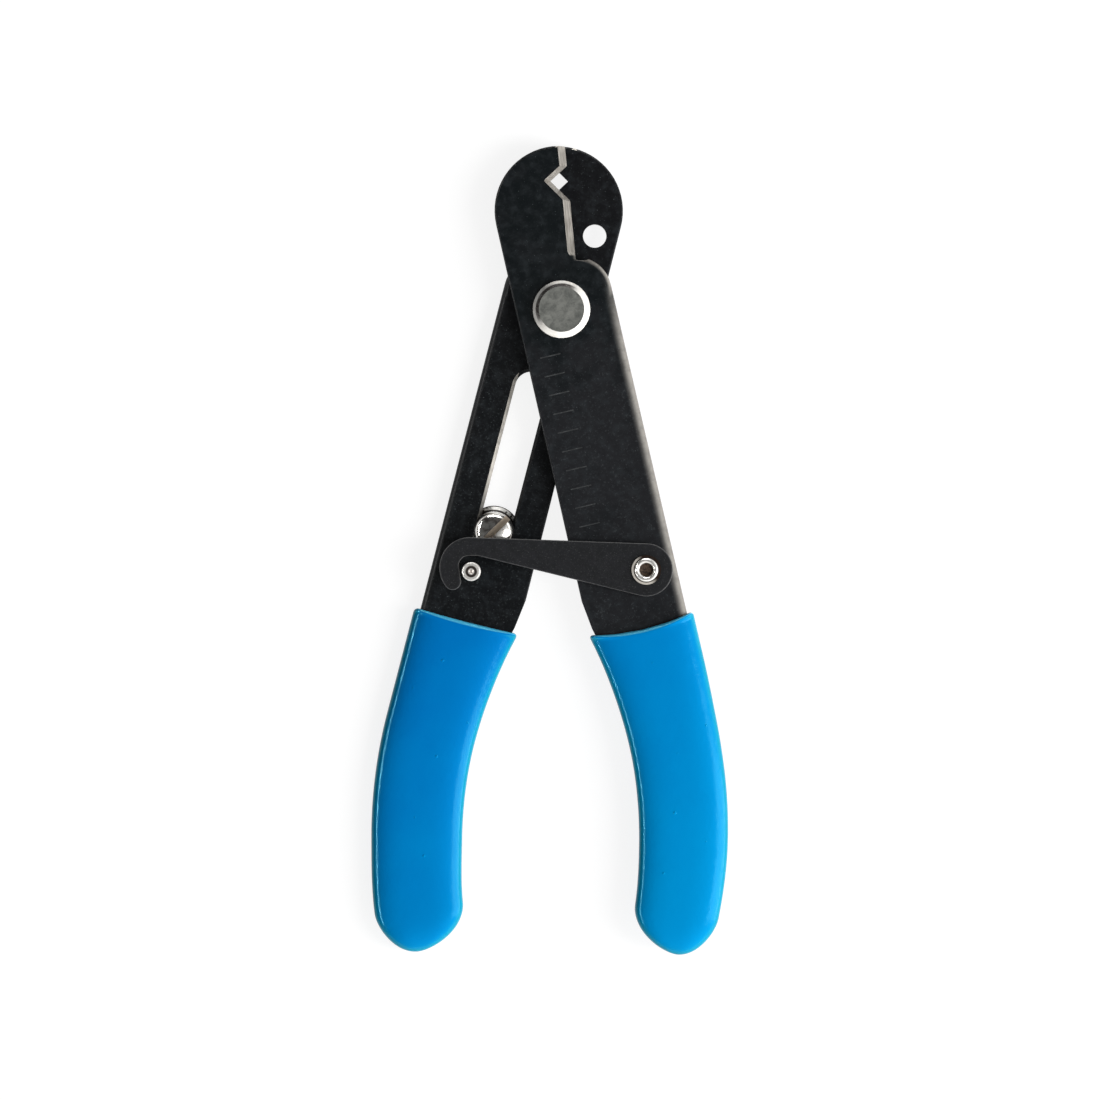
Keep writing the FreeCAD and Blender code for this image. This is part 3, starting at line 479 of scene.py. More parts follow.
def turned_pin(settings):
    """Turned head of the latch's pin: bright rim, groove painted dark as shade, and a dull dimple."""
    look = Look("turned_pin")
    place = look.place(0.0, LATCH_PIN)
    grain = look.noise(place, 2.4, 4.0, 0.6)
    away = look.far(place)
    # Painted shade: the groove is painted dark brown.
    groove = look.times(look.range(away, *GROOVE_START), look.range(away, *GROOVE_END))
    shade = look.fade(grain, 0.35, 0.7, settings.nickel, settings.nickel_stain, 0.4)
    shade = look.fade(away, *PIN_DIMPLE, shade, settings.nickel_stain, 0.7)
    look.set(Base_Color=look.mix(groove, shade, settings.painted_shade_brown),
             Metallic=look.blend(groove, 0.6, 0.2),
             Roughness=look.range(grain, 0.3, 0.7, 0.34, 0.46))
    look.bump(grain, 0.01)
    return look.material


def spring_steel(settings):
    """Drawn wire: dull grey with fine lines."""
    look = Look("spring_steel")
    draw = look.noise(look.place(0.0, ORIGIN, (4.0, 0.4, 4.0)), 2.0, 4.0, 0.6)
    look.set(Base_Color=look.fade(draw, 0.3, 0.7, settings.steel_dark, settings.steel_light),
             Roughness=look.range(draw, 0.3, 0.7, 0.25, 0.4), Metallic=1.0)
    look.bump(draw, 0.006)
    return look.material


def dipped_vinyl(settings):
    """Glossy dipped vinyl: painted light and shade, slow clouds of colour, orange peel and a few
    dull finger marks.
    """
    look = Look("dipped_vinyl")
    place = look.place()
    where = look.parts(place)
    # Painted light: the colour gets lighter to the right and downwards, with slow random clouds.
    right = look.times(look.math("ADD", where["X"], 20.0), 0.013)
    down = look.times(look.math("SUBTRACT", -24.0, where["Y"]), 0.014)
    cloud = look.range(look.noise(place, 0.09, 3.0, 0.5), 0.3, 0.7, 0.0, 0.2)
    painted_light_and_cloud = look.math("ADD", look.math("ADD", right, down), cloud)
    shade = look.mix(painted_light_and_cloud, settings.vinyl_shaded_deep, settings.vinyl_blue)
    dust = look.noise(place, 2.6, 2.0, 0.6)
    shade = look.fade(dust, 0.70, 0.80, shade, settings.vinyl_light, 0.25)
    # Painted light: the rounded edges are painted a shade nearer to cyan.
    shade = look.fade(look.upright("Normal"), 0.992, 0.62, shade, settings.vinyl_painted_edge)
    # Painted highlight: the lip at the mouths, where it faces up the tool, is painted light cyan.
    forward = look.parts(look.add("ShaderNodeNewGeometry").outputs["Normal"])["Y"]
    rim = look.times(look.range(forward, 0.12, 0.42), look.range(where["Y"], *VINYL_MOUTH))
    smear = look.noise(look.place(20.0, ORIGIN, (0.5, 0.12, 0.5)), 1.2, 4.0, 0.6)
    look.set(Base_Color=look.mix(rim, shade, settings.vinyl_rim_highlight),
             Roughness=look.range(smear, 0.35, 0.7, 0.14, 0.18),
             Specular_IOR_Level=0.32, Specular_Tint=settings.vinyl_gloss)
    peel = look.math("ADD", look.times(look.noise(place, 1.4, 2.0, 0.5), 0.35),
                     look.noise(place, 0.22, 2.0, 0.5))
    look.bump(peel, 0.05)
    return look.material


def etched_mark(settings):
    """Fill of the depth lines: grey, worn off in places."""
    look = Look("etched_mark")
    wear = look.noise(look.place(), 1.3, 4.0, 0.7)
    look.set(Base_Color=look.fade(wear, 0.45, 0.66, settings.mark_dark, settings.mark_light),
             Roughness=look.range(wear, 0.3, 0.7, 0.5, 0.7))
    look.bump(wear, 0.01)
    return look.material


# Objects and meshes.

def put(name, data):
    """Make an object of a mesh, a light or a camera, and put it in the scene."""
    thing = bpy.data.objects.new(name, data)
    bpy.context.scene.collection.objects.link(thing)
    return thing


def new_piece(name, mesh, material, body):
    """Show a finished mesh of one material as a piece that rides that body."""
    piece = put(name, mesh)
    mesh.materials.clear()
    mesh.materials.append(material)
    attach(piece, body)
    return piece


def rounded_section(half_width, half_depth, power, facets):
    """Points of a superellipse, from its +X side round by its +Z side."""
    points = []
    for index in range(facets):
        angle = 2 * math.pi * index / facets
        across, up = math.cos(angle), math.sin(angle)
        across = math.copysign(abs(across) ** (2 / power), across)
        up = math.copysign(abs(up) ** (2 / power), up)
        points.append((half_width * across, half_depth * up))
    return points


def grip_limits(along):
    """Inner and outer edge of a grip at a distance down its curve, in the lever's millimetres."""
    straight = GRIP_CREST - GRIP_MOUTH
    if along <= straight:
        up = -GRIP_MOUTH - along
        rise = up + GRIP_CREST
        inner = INNER_CENTRE + math.sqrt(INNER_RADIUS ** 2 - rise ** 2)
        return Vector((inner, up)), Vector((OUTER_SIDE, up))
    middle = (INNER_RADIUS + OUTER_RADIUS) / 2
    focus = (OUTER_CENTRE - INNER_CENTRE) / 2
    sweep = (along - straight) / middle
    centre = Vector((INNER_CENTRE + focus + middle * math.cos(sweep),
                     -GRIP_CREST - math.sqrt(middle ** 2 - focus ** 2) * math.sin(sweep)))
    inner_middle = Vector((INNER_CENTRE, -GRIP_CREST))
    outer_middle = Vector((OUTER_CENTRE, -GRIP_CREST))
    inner = inner_middle + (centre - inner_middle).normalized() * INNER_RADIUS
    outer = outer_middle + (centre - outer_middle).normalized() * OUTER_RADIUS
    return inner, outer


def swell(along, start, end):
    """Rise smoothly from 0 to 1 between two distances."""
    share = min(max((along - start) / (end - start), 0.0), 1.0)
    return share * share * (3 - 2 * share)


def corner_drop(distance, radius):
    """How far a rounded corner stands back at that distance from the end face."""
    if distance >= radius:
        return 0.0
    return radius - math.sqrt(radius ** 2 - (radius - distance) ** 2)


def closed_skin(rings, tip):
    """One closed smooth mesh through rings of points, from a flat first ring to a tip."""
    shell = bmesh.new()
    loops = [[shell.verts.new(point) for point in points] for points in rings]
    last = shell.verts.new(tip)
    around = len(rings[0])
    for lower, upper in zip(loops, loops[1:]):
        for index in range(around):
            following = (index + 1) % around
            shell.faces.new((lower[index], lower[following], upper[following], upper[index]))
    for index in range(around):
        shell.faces.new((loops[-1][index], loops[-1][(index + 1) % around], last))
    shell.faces.new(loops[0])
    bmesh.ops.remove_doubles(shell, verts=shell.verts, dist=1e-7)
    bmesh.ops.recalc_face_normals(shell, faces=shell.faces)
    mesh = bpy.data.meshes.new("grip")
    shell.to_mesh(mesh)
    shell.free()
    mesh.shade_smooth()
    return mesh


def grip_mesh(settings, side, middle_height):
    """A dipped sleeve as one closed skin: mouth, lip, crowned body and pointed end."""
    front = side == FRONT
    half_depth = settings.grip_depth / 2 / MM
    power = settings.grip_power
    lip = settings.lip_radius / MM
    corner = settings.mouth_corner / MM
    sag = (settings.front_mouth_sag if front else settings.rear_mouth_sag) / MM
    outer_trim = (settings.front_outer_trim if front else 0.0) / MM
    inner_trim = settings.inner_trim / MM
    end_trim = (settings.front_end_trim if front else 0.0) / MM
    end_shift = (0.0 if front else settings.rear_end_shift) / MM
    end_power = settings.front_end_power if front else settings.rear_end_power
    sweep_length = (INNER_RADIUS + OUTER_RADIUS) / 2 * math.radians(END_SWEEP)
    full_length = GRIP_CREST - GRIP_MOUTH + sweep_length
    rings = []

    def ring(inner, outer, narrow, depth, shape, along=0.0):
        """Add a section between two edges, drawn in by narrow, that sags near the mouth."""
        centre = (inner + outer) / 2
        axis = (outer - inner) / 2
        half = axis.length
        axis.normalize()
        drop = max(0.0, 1 - along / SAG_ENDS) * sag
        points = []
        for across, up in rounded_section(half - narrow, depth, shape, settings.grip_around):
            place = centre + axis * across
            bend = drop * (1 - (across / half) ** 2)
            points.append(to_row((place.x, place.y - bend), side, middle_height + up))
        rings.append(points)

    def limits(along):
        """The grip's own edges: CAD's, with the body trimmed and the tail trimmed and shifted."""
        inner, outer = grip_limits(along)
        axis = (outer - inner).normalized()
        body = swell(along, *BODY_TRIM)
        tail = swell(along, TAIL_TRIM_START, full_length + TAIL_TRIM_PAST)
        inner = inner + axis * (inner_trim * body + (end_trim + end_shift) * tail)
        outer = outer + axis * ((end_shift - end_trim) * tail - outer_trim * body)
        return inner, outer

    slit = PLATE_THICKNESS / 2 + PLUG_PLAY
    ring(*grip_limits(PLUG_DEPTH), PLUG_SIDE, slit, PLUG_POWER)
    sunk = Vector((0, -MOUTH_SINK))
    inner, outer = grip_limits(0.0)
    ring(inner + sunk, outer + sunk, PLUG_SIDE, slit, PLUG_POWER)
    for step in range(1, LIP_STEPS + 1):
        share = step / LIP_STEPS
        stand = lip * (1 - math.sin(share * math.pi / 2))
        back = lip * (1 - math.cos(share * math.pi / 2)) * LIP_DEPTH
        ring(*grip_limits(back), corner_drop(back, corner), half_depth - stand,
             power + LIP_SQUARENESS * (1 - share), back)
    first = lip * LIP_DEPTH
    for step in range(1, settings.grip_sections + 1):
        along = first + (full_length - first) * step / settings.grip_sections
        ring(*limits(along), corner_drop(along, corner), half_depth, power, along)
    inner, outer = limits(full_length)
    centre, axis = (inner + outer) / 2, (outer - inner) / 2
    down = Vector((axis.y, -axis.x)).normalized()
    reach_down = (Vector(END_CENTRE) - centre).dot(down) + END_RADIUS - END_SHORT[side]
    outwards = axis.normalized() * settings.tip_shift / MM
    caps = settings.grip_around // 2
    for step in range(1, caps):
        sink = math.sin(math.pi / 2 * math.sin(math.pi / 2 * step / caps))
        reach = axis * (1 - sink ** end_power) ** (1 / end_power)
        point = centre + down * reach_down * sink + outwards * sink ** 3
        depth = half_depth * (1 - sink ** power) ** (1 / power)
        ring(point - reach, point + reach, 0.0, depth, power, full_length)
    tip = centre + down * reach_down + outwards
    return closed_skin(rings, to_row((tip.x, tip.y), side, middle_height))


# Node groups for what repeats.

class Group(Nodes):
    """A node group that makes geometry, with named inputs."""

    def __init__(self, name, entries):
        """Each entry is a name with its kind of socket and its default."""
        super().__init__(bpy.data.node_groups.new(name, "GeometryNodeTree"))
        for way in ("INPUT", "OUTPUT"):
            self.tree.interface.new_socket("Geometry", in_out=way,
                                           socket_type="NodeSocketGeometry")
        self.ends = {}
        for entry, (kind, default) in entries.items():
            socket = self.tree.interface.new_socket(entry, in_out="INPUT",
                                                    socket_type="NodeSocket" + kind)
            socket.default_value = default
            self.ends[entry] = socket.identifier
        self.take = self.add("NodeGroupInput").outputs

    def finish(self, geometry, material):
        """End in real geometry of one material."""
        real = self.add("GeometryNodeRealizeInstances", {"Geometry": geometry})
        paint = self.add("GeometryNodeSetMaterial",
                         {"Geometry": real.outputs[0], "Material": material})
        self.add("NodeGroupOutput", {"Geometry": paint.outputs[0]})


def grow(name, group, values, start=None):
    """Run a node group on a mesh with these input values, and give the plain mesh it makes."""
    carrier = put(name + "_carrier", start or bpy.data.meshes.new(name))
    modifier = carrier.modifiers.new(name, "NODES")
    modifier.node_group = group.tree
    for key, value in values.items():
        modifier[group.ends[key]] = value
    bpy.context.view_layer.update()
    graph = bpy.context.evaluated_depsgraph_get()
    mesh = bpy.data.meshes.new_from_object(carrier.evaluated_get(graph))
    carrier.modifiers.remove(modifier)
    bpy.data.objects.remove(carrier)
    mesh.name = name
    if not mesh.polygons:
        raise RuntimeError(name + " came out empty")
    return mesh


def depth_mark_group(material):
    """A row of short flat bars, one in each engraved line of the front lever."""
    group = Group("depth_marks", {
        "Count": ("Int", 10), "Pitch": ("Float", 3.09 * MM), "Length": ("Float", 3.4 * MM),
        "Width": ("Float", 0.2 * MM), "Thickness": ("Float", MARK_THICKNESS * MM),
        "First": ("Vector", ORIGIN), "Lean": ("Float", math.radians(LEAN))})
    take = group.take
    direction = group.add("ShaderNodeVectorRotate",
                          {"Vector": (0.0, -1.0, 0.0), "Angle": take["Lean"]},
                          rotation_type="Z_AXIS")
    step = group.add("ShaderNodeVectorMath", {0: direction.outputs[0], 3: take["Pitch"]},
                     operation="SCALE")
    row = group.add("GeometryNodeMeshLine",
                    {"Count": take["Count"], "Start Location": take["First"],
                     "Offset": step.outputs[0]})
    size = group.add("ShaderNodeCombineXYZ",
                     {0: take["Length"], 1: take["Width"], 2: take["Thickness"]})
    bar = group.add("GeometryNodeMeshCube", {"Size": size.outputs[0]})
    spin = group.add("ShaderNodeCombineXYZ", {2: take["Lean"]})
    rows = group.add("GeometryNodeInstanceOnPoints",
                     {"Points": row.outputs[0], "Instance": bar.outputs["Mesh"],
                      "Rotation": spin.outputs[0]})
    group.finish(rows.outputs[0], material)
    return group


def pimple_group(material):
    """Small round pimples scattered over the top of a dipped grip."""
    group = Group("vinyl_pimples", {
        "Spacing": ("Float", 6.0 * MM), "Radius": ("Float", 0.35 * MM),
        "Height": ("Float", 0.25), "Seed": ("Int", 4)})
    take = group.take
    normal = group.parts(group.add("GeometryNodeInputNormal").outputs[0])
    top = group.add("FunctionNodeCompare", {0: normal["Z"], 1: PIMPLE_LEVEL},
                    data_type="FLOAT", operation="GREATER_THAN")
    scatter = group.add("GeometryNodeDistributePointsOnFaces",
                        {"Mesh": take["Geometry"], "Selection": top.outputs[0],
                         "Distance Min": take["Spacing"], "Density Max": PIMPLE_DENSITY,
                         "Seed": take["Seed"]},
                        distribute_method="POISSON")
    dome = group.add("GeometryNodeMeshUVSphere",
                     {"Segments": 14, "Rings": 8, "Radius": take["Radius"]})
    smooth = group.add("GeometryNodeSetShadeSmooth", {"Geometry": dome.outputs["Mesh"]})
    size = group.add("FunctionNodeRandomValue", {2: 0.5, 3: 1.0, 8: take["Seed"]},
                     data_type="FLOAT")
    flat = group.add("ShaderNodeCombineXYZ", {0: 1.0, 1: 1.0, 2: take["Height"]})
    scale = group.add("ShaderNodeVectorMath", {0: flat.outputs[0], 3: size.outputs[1]},
                      operation="SCALE")
    domes = group.add("GeometryNodeInstanceOnPoints",
                      {"Points": scatter.outputs["Points"], "Instance": smooth.outputs[0],
                       "Rotation": scatter.outputs["Rotation"], "Scale": scale.outputs[0]})
    group.finish(domes.outputs[0], material)
    return group


def repaint(node, material):
    """Give a CAD node one material."""
    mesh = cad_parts[node].data
    mesh.materials.clear()
    mesh.materials.append(material)
    mesh.polygons.foreach_set("material_index", [0] * len(mesh.polygons))


# Sizes and colours that a user would change.

def colour(name, description, *light):
    """A colour that the user may change, given from 0 to 255 as the eye reads it."""
    return bpy.props.FloatVectorProperty(name=name, description=description, size=4, min=0.0,
                                         max=1.0, default=linear(*light), subtype="COLOR")


def length(name, description, value, least, most):
    """A length, given in millimetres."""
    return bpy.props.FloatProperty(name=name, description=description, default=value * MM,
                                   min=least * MM, max=most * MM, unit="LENGTH", precision=5)


def number(name, description, value, least, most, **settings):
    return bpy.props.FloatProperty(name=name, description=description, default=value, min=least,
                                   max=most, **settings)


def count(name, description, value, least, most):
    return bpy.props.IntProperty(name=name, description=description, default=value, min=least,
                                 max=most)


class StripperFinish(bpy.types.PropertyGroup):
    """Colours and roughness of the metal and vinyl."""

    oxide_cool: colour("Oxide, cool", "Black oxide where it is blue-green", 8, 15, 18)
    oxide_warm: colour("Oxide, warm", "Black oxide where it is charcoal", 30, 31, 34)
    oxide_rear: colour("Oxide, rear", "Black oxide of the rear lever", 12, 13, 16)
    oxide_light: colour("Oxide, light", "Light flecks of the oxide", 38, 44, 48)
    oxide_speck: colour("Oxide, specks", "Grain and bright specks of the oxide", 84, 90, 92)
    steel_dark: colour("Steel, dark", "Dark streaks of ground steel and spring wire", 122, 117, 110)
    # Steel, light is also painted on the levers' edges and shoulders as a highlight.
    steel_light: colour("Steel, light", "Light streaks of steel, and rubbed lever edges", 192, 187, 179)
    latch_dark: colour("Latch, dark", "Matte black of the latch arm", 17, 19, 22)
    latch_light: colour("Latch, light", "Lighter clouds of the latch arm", 26, 27, 31)
    # This colour is also the latch arm's painted highlight on its sloped edges.
    latch_flecks_and_sheen: colour("Rubbed latch", "Rubbed edges and flecks of the latch arm", 128, 128, 127)
    zinc_dark: colour("Rivet face, dark", "Dark mottling of the rivet's face", 94, 96, 92)
    zinc_light: colour("Rivet face, light", "Light mottling of the rivet's face", 128, 129, 123)
    nickel: colour("Nickel", "Bright nickel plate", 236, 234, 229)
    # This nickel is also painted on the latch rivet's flange as its lit side.
    nickel_warm: colour("Nickel, warm", "Nickel plate under handling haze", 218, 212, 202)
    nickel_stain: colour("Nickel, stained", "Brown stains of the screw and the pin", 122, 106, 96)
    # Painted shade, dark brown, on the pivot rivet's bevel, the latch rivet's bore and flange, the nut's
    # flange and the pin's groove.
    painted_shade_brown: colour("Grime, dark", "Dark grime of the rivets, the nut and the pin", 44, 34, 28)
    # Lighter tan patches of the painted shade in the latch rivet's bore.
    bore_shade_tan: colour("Grime, tan", "Lighter grime in the latch rivet's bore", 132, 112, 94)
    # Painted shade on the floor of the driver slot.
    slot_shade_tan: colour("Driver slot", "Dull floor of the driver slot", 150, 138, 124)
    # Painted light and shade: a grip runs from the first colour below, shaded, to the second, lit.
    vinyl_shaded_deep: colour("Vinyl, deep", "Thicker runs of the vinyl", 0, 125, 206)
    vinyl_blue: colour("Vinyl", "The vinyl's own blue", 0, 154, 224)
    # Painted light on the grips' rounded edges.
    vinyl_painted_edge: colour("Vinyl, edge", "The vinyl at its rounded edges", 0, 156, 190)
    # Painted highlight on the lip at the grips' mouths.
    vinyl_rim_highlight: colour("Vinyl, rim", "The thin lip of the vinyl at the mouths", 84, 196, 238)
    vinyl_gloss: colour("Vinyl, gloss", "Tint of the vinyl's reflections", 96, 196, 212)
    vinyl_light: colour("Vinyl, light", "Dust on the vinyl", 30, 160, 226)
    mark_dark: colour("Mark, worn", "Depth line where it is worn off", 34, 38, 40)
    mark_light: colour("Mark", "Depth line where its fill is left", 62, 66, 68)
    oxide_roughness: number("Oxide roughness", "Roughness of the black oxide, 0 is a mirror",
                            0.40, 0.05, 1.0, subtype="FACTOR")
    # Edge wear scales the light steel painted on the levers' edges as a highlight, patchy like rubbing.
    edge_rub_and_highlight: number("Edge wear", "How far the hand has rubbed the rounded edge",
                      0.8, 0.0, 1.0, subtype="FACTOR")


class StripperSizes(bpy.types.PropertyGroup):
    """Sizes of the dressed pieces."""

    grip_depth: length("Grip depth", "Thickness of a dipped grip", 4.6, 3, 8)
    grip_power: number("Grip crown", "2 is an oval section, more is flatter on top", 3.0, 2.0, 12.0)
    lip_radius: length("Lip radius", "Rounding of a grip's mouth", 0.8, 0.2, 1.1)
    front_mouth_sag: length("Front mouth sag", "How far the front grip's mouth dips", 1.1, 0.0, 3)
    rear_mouth_sag: length("Rear mouth sag", "How far the rear grip's mouth dips", 0.2, 0.0, 3)
    mouth_corner: length("Mouth corner", "Rounding of a grip's mouth at its two sides", 0.8, 0.1, 2)
    front_outer_trim: length("Front outer trim", "How much flatter the front grip's outer side is",
                             0.35, 0.0, 1)
    inner_trim: length("Inner trim", "How much flatter the inner sides of the grips are", 0.18, 0.0, 1)
    front_end_trim: length("Front end trim", "How much narrower the front grip's end is, each side",
                           0.20, 0.0, 1)
    front_end_power: number("Front end point", "2 is a round end, less is more pointed", 1.76, 1.2, 3.0)
    rear_end_power: number("Rear end point", "2 is a round end, less is more pointed", 1.78, 1.2, 3.0)
    tip_shift: length("Tip shift", "How far a grip's tip lies outwards of its middle", 1.0, 0.0, 2)
    rear_end_shift: length("Rear end shift", "How far the rear grip's end runs outwards", 0.48, 0.0, 1)
    grip_sections: count("Grip sections", "Sections along a grip", 90, 10, 400)
    grip_around: count("Grip facets", "Facets round a grip", 72, 16, 256)
    pimple_spacing: length("Pimple spacing", "Least distance between two pimples", 6.0, 1, 50)
    pimple_radius: length("Pimple radius", "Radius of the largest pimple", 0.26, 0.05, 1)
    mark_count: count("Depth lines", "Number of depth lines", 10, 1, 20)
    mark_pitch: length("Depth line pitch", "Distance from one depth line to the next", 3.09, 1, 10)


class StripperStudio(bpy.types.PropertyGroup):
    """Light and camera."""

    key_power: number("Key power", "Power of the soft light at the right", 4.4, 0.0, 100.0, unit="POWER")
    strip_power: number("Strip power", "Power of the narrow light at the left",
                        5.0, 0.0, 100.0, unit="POWER")
    top_power: number("Top power", "Power of the narrow light above the picture",
                      5.0, 0.0, 100.0, unit="POWER")
    low_band: number("Low band", "Strength of the room's bright band near the floor", 2.0, 0.0, 10.0)
    dark_sky: number("Dark side", "Strength of the room's light from the upper left", 0.07, 0.0, 2.0)
    bright_sky: number("Bright side", "Strength of the room's light from the lower right", 1.1, 0.0, 2.0)
    frame_width: length("Frame width", "Width of the picture at the tool", 176.55, 50, 1000)
    lens: number("Lens", "Focal length in millimetres", 300.0, 20.0, 1000.0)
    turn: bpy.props.FloatProperty(
        name="Turn", description="Turn of the camera about its line of sight",
        default=math.radians(0.75), subtype="ANGLE", unit="ROTATION")


# Operators, one for each piece or group of like pieces.

class STRIPPER_OT_levers(bpy.types.Operator):
    """Blacken both levers and grind their cutting edges"""

    bl_idname = "stripper.levers"
    bl_label = "Finish the levers"

    def execute(self, context):
        settings = context.scene.stripper_finish
        repaint("front_lever", black_oxide_lever(settings, FRONT))
        repaint("rear_lever", black_oxide_lever(settings, REAR))
        return {"FINISHED"}


class STRIPPER_OT_depth_marks(bpy.types.Operator):
    """Fill the engraved depth lines of the front lever"""

    bl_idname = "stripper.depth_marks"
    bl_label = "Fill the depth lines"

    def execute(self, context):
        sizes = context.scene.stripper_sizes
        material = etched_mark(context.scene.stripper_finish)
        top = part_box("front_lever")[1].z / MM
        middle = (LINE_LEFT + LINE_LENGTH / 2, LINE_FIRST - LINE_WIDTH / 2)
        first = to_row(middle, FRONT, top - LINE_DEPTH + MARK_THICKNESS / 2)
        mesh = grow("depth_marks", depth_mark_group(material),
                    {"Count": sizes.mark_count, "Pitch": sizes.mark_pitch, "First": first})
        new_piece("depth_marks", mesh, material, "front_handle")
        return {"FINISHED"}


class STRIPPER_OT_grips(bpy.types.Operator):
    """Dip both handles in blue vinyl"""

    bl_idname = "stripper.grips"
    bl_label = "Dip the grips"

    def execute(self, context):
        sizes = context.scene.stripper_sizes
        vinyl = dipped_vinyl(context.scene.stripper_finish)
        pimples = pimple_group(vinyl)
        for node, body, side, seed in (("front_grip", "front_handle", FRONT, 4),
                                       ("rear_grip", "rear_handle", REAR, 9)):
            low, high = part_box(node)
            mesh = grip_mesh(sizes, side, (low.z + high.z) / 2 / MM)
            dots = grow(node + "_pimples", pimples,
                        {"Spacing": sizes.pimple_spacing, "Radius": sizes.pimple_radius,
                         "Seed": seed}, mesh.copy())
            piece = new_piece(node + "_dip", mesh, vinyl, body)
            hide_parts(node)
            specks = new_piece(node + "_pimples", dots, vinyl, body)
        return {"FINISHED"}


class STRIPPER_OT_fasteners(bpy.types.Operator):
    """Finish the rivets, the pin, the stop screw and its nut, the washers and the spring"""

    bl_idname = "stripper.fasteners"
    bl_label = "Finish the fasteners"

    def execute(self, context):
        settings = context.scene.stripper_finish
        satin = nickel_satin(settings)
        repaint("pivot_rivet", rivet_zinc(settings))
        repaint("pivot_washer", satin)
        repaint("opening_spring", spring_steel(settings))
        repaint("stop_screw", screw_nickel(settings))
        repaint("stop_nut", nut_nickel(settings))
        repaint("latch_rivet", rolled_rivet(settings))
        repaint("latch_pin", turned_pin(settings))
        repaint("latch_washer", satin)
        return {"FINISHED"}


class STRIPPER_OT_latch(bpy.types.Operator):
    """Finish the hooked latch arm"""

    bl_idname = "stripper.latch"
    bl_label = "Finish the latch"

    def execute(self, context):
        repaint("latch_arm", latch_black(context.scene.stripper_finish))
        return {"FINISHED"}


def soft_light(name, place, size, power, gloss_only=False):
    """A rectangular soft light at a place, turned to the tool; it may draw only highlights."""
    data = bpy.data.lights.new(name, "AREA")
    data.shape = "RECTANGLE"
    data.size, data.size_y = size
    data.energy = power
    lamp = put(name, data)
    lamp.visible_diffuse = not gloss_only
    lamp.location = place
    lamp.rotation_euler = (Vector(LIT_POINT) - Vector(place)).to_track_quat("-Z", "Y").to_euler()


def studio_room(studio):
    """A room that is pale to the camera; to the tool it has a bright and a dark side.

    Its low band, near the floor, is brighter at the lower right.
    """
    world = bpy.data.worlds.new("studio_room")
    world.use_nodes = True
    room = Nodes(world.node_tree)
    way = room.add("ShaderNodeTexCoord").outputs["Generated"]
    side = room.vector("DOT_PRODUCT", way, Vector(BRIGHT_WAY).normalized())["Value"]
    sky = room.range(side, *BRIGHT_FADE, studio.dark_sky, studio.bright_sky)
    level = room.vector("DOT_PRODUCT", way, BAND_WAY)["Value"]
    around = room.range(level, *BAND_FADE, 0.0, studio.low_band)
    band = room.times(around, room.range(room.parts(way)["Z"], *BAND_HEIGHT))
    light = room.add("ShaderNodeBackground", {"Strength": room.math("ADD", sky, band)})
    pale = room.add("ShaderNodeBackground")
    seen = room.add("ShaderNodeLightPath").outputs["Is Camera Ray"]
    mix = room.add("ShaderNodeMixShader", {0: seen, 1: light.outputs[0], 2: pale.outputs[0]})
    room.add("ShaderNodeOutputWorld", {0: mix.outputs[0]})
    bpy.context.scene.world = world


def studio_floor():
    """A floor that keeps the tool's shadow and glows to the camera and in reflections."""
    board = bmesh.new()
    bmesh.ops.create_grid(board, x_segments=2, y_segments=2, size=FLOOR_HALF)
    mesh = bpy.data.meshes.new("floor")
    board.to_mesh(mesh)
    board.free()
    floor = put("floor", mesh)
    material = bpy.data.materials.new("floor_white")
    material.use_nodes = True
    paint = Nodes(material.node_tree)
    paper = paint.add("ShaderNodeBsdfDiffuse", {"Color": (*[FLOOR_GREY] * 3, 1.0)})
    paths = paint.add("ShaderNodeLightPath").outputs
    seen = paint.either(paths["Is Camera Ray"], paths["Is Glossy Ray"])
    glow = paint.add("ShaderNodeEmission", {"Color": (1.0, 1.0, 1.0, 1.0),
                                            "Strength": paint.times(seen, FLOOR_GLOW)})
    both = paint.add("ShaderNodeAddShader", {0: paper.outputs[0], 1: glow.outputs[0]})
    paint.add("ShaderNodeOutputMaterial", {0: both.outputs[0]})
    mesh.materials.append(material)


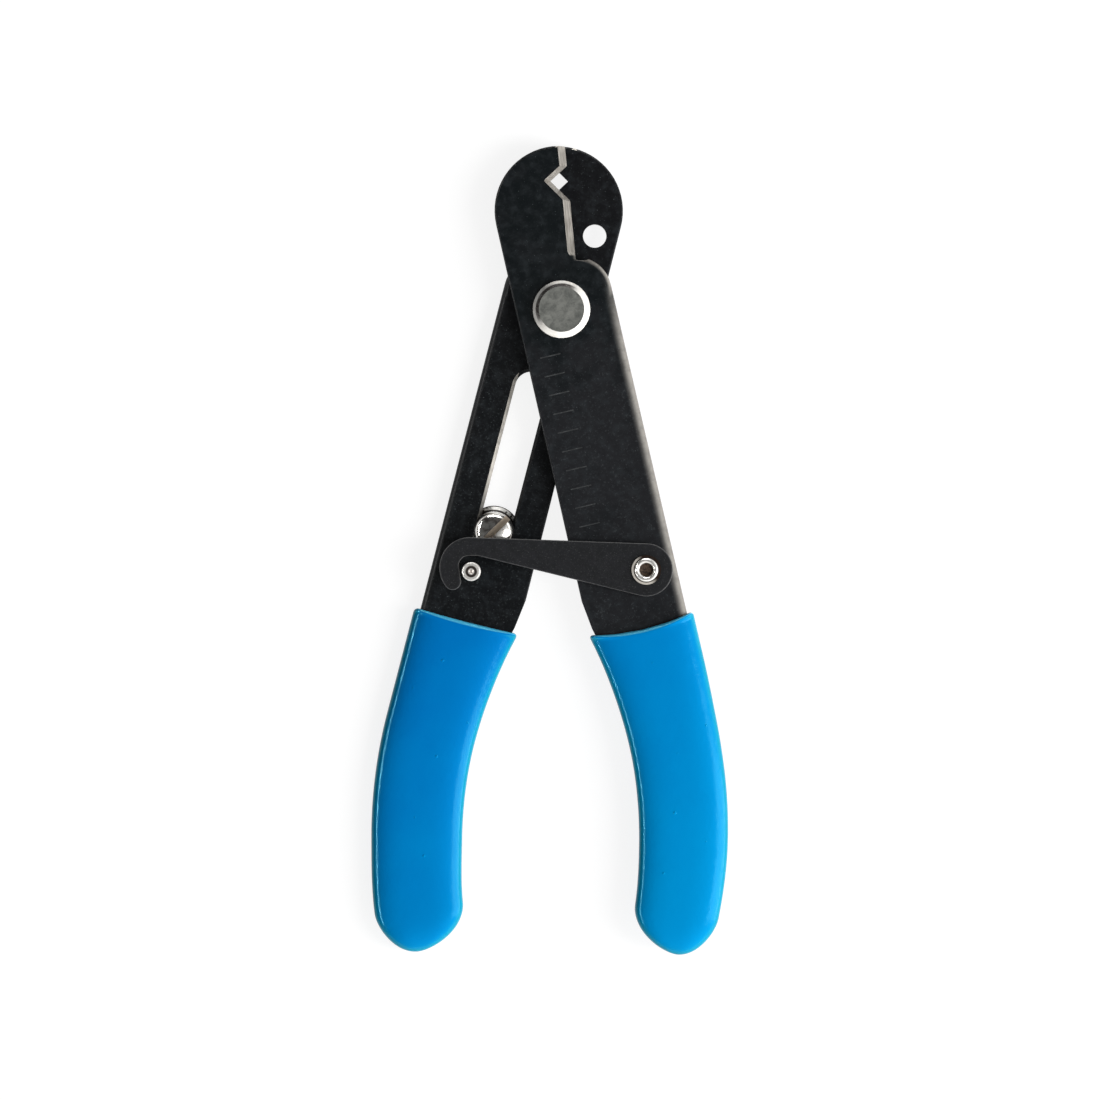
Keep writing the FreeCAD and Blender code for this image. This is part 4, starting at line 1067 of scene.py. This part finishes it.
class STRIPPER_OT_stage(bpy.types.Operator):
    """Lay the floor, set the lights and hang the camera above the tool"""

    bl_idname = "stripper.stage"
    bl_label = "Set the stage"

    def execute(self, context):
        studio = context.scene.stripper_studio
        studio_room(studio)
        studio_floor()
        soft_light("key", (0.62, -0.10, 0.42), (0.30, 0.70), studio.key_power)
        soft_light("strip", (-0.57, 0.02, 0.38), (0.80, 0.03), studio.strip_power, True)
        soft_light("top", (0.0, 0.72, 0.24), (0.60, 0.22), studio.top_power, True)
        data = bpy.data.cameras.new("camera")
        data.sensor_width = SENSOR_WIDTH
        data.lens = studio.lens
        camera = put("camera", data)
        height = studio.frame_width * studio.lens / data.sensor_width
        camera.location = (*CAMERA_SHIFT, height + FRAMED_HEIGHT)
        camera.rotation_euler = (0.0, 0.0, studio.turn)
        data.clip_start, data.clip_end = 0.05, 20.0
        context.scene.camera = camera
        context.scene.view_settings.view_transform = "Standard"
        return {"FINISHED"}


class STRIPPER_PT_panel(bpy.types.Panel):
    """Lists the stripper's pieces in the sidebar"""

    bl_label = "Wire stripper"
    bl_idname = "STRIPPER_PT_panel"
    bl_space_type = "VIEW_3D"
    bl_region_type = "UI"
    bl_category = "Wire stripper"

    def draw(self, context):
        column = self.layout.column()
        for operator in OPERATORS:
            column.operator(operator.bl_idname)
        for group in (context.scene.stripper_finish, context.scene.stripper_sizes,
                      context.scene.stripper_studio):
            for name in type(group).__annotations__:
                column.prop(group, name)


OPERATORS = (
    STRIPPER_OT_levers,
    STRIPPER_OT_depth_marks,
    STRIPPER_OT_grips,
    STRIPPER_OT_fasteners,
    STRIPPER_OT_latch,
    STRIPPER_OT_stage,
)
CLASSES = (StripperFinish, StripperSizes, StripperStudio, *OPERATORS, STRIPPER_PT_panel)


def register():
    for item in CLASSES:
        bpy.utils.register_class(item)
    scene = bpy.types.Scene
    scene.stripper_finish = bpy.props.PointerProperty(type=StripperFinish)
    scene.stripper_sizes = bpy.props.PointerProperty(type=StripperSizes)
    scene.stripper_studio = bpy.props.PointerProperty(type=StripperStudio)


def unregister():
    del bpy.types.Scene.stripper_studio
    del bpy.types.Scene.stripper_sizes
    del bpy.types.Scene.stripper_finish
    for item in reversed(CLASSES):
        bpy.utils.unregister_class(item)


def main():
    register()
    bpy.ops.stripper.levers()
    bpy.ops.stripper.depth_marks()
    bpy.ops.stripper.grips()
    bpy.ops.stripper.fasteners()
    bpy.ops.stripper.latch()
    bpy.ops.stripper.stage()


if __name__ == "__main__":
    main()
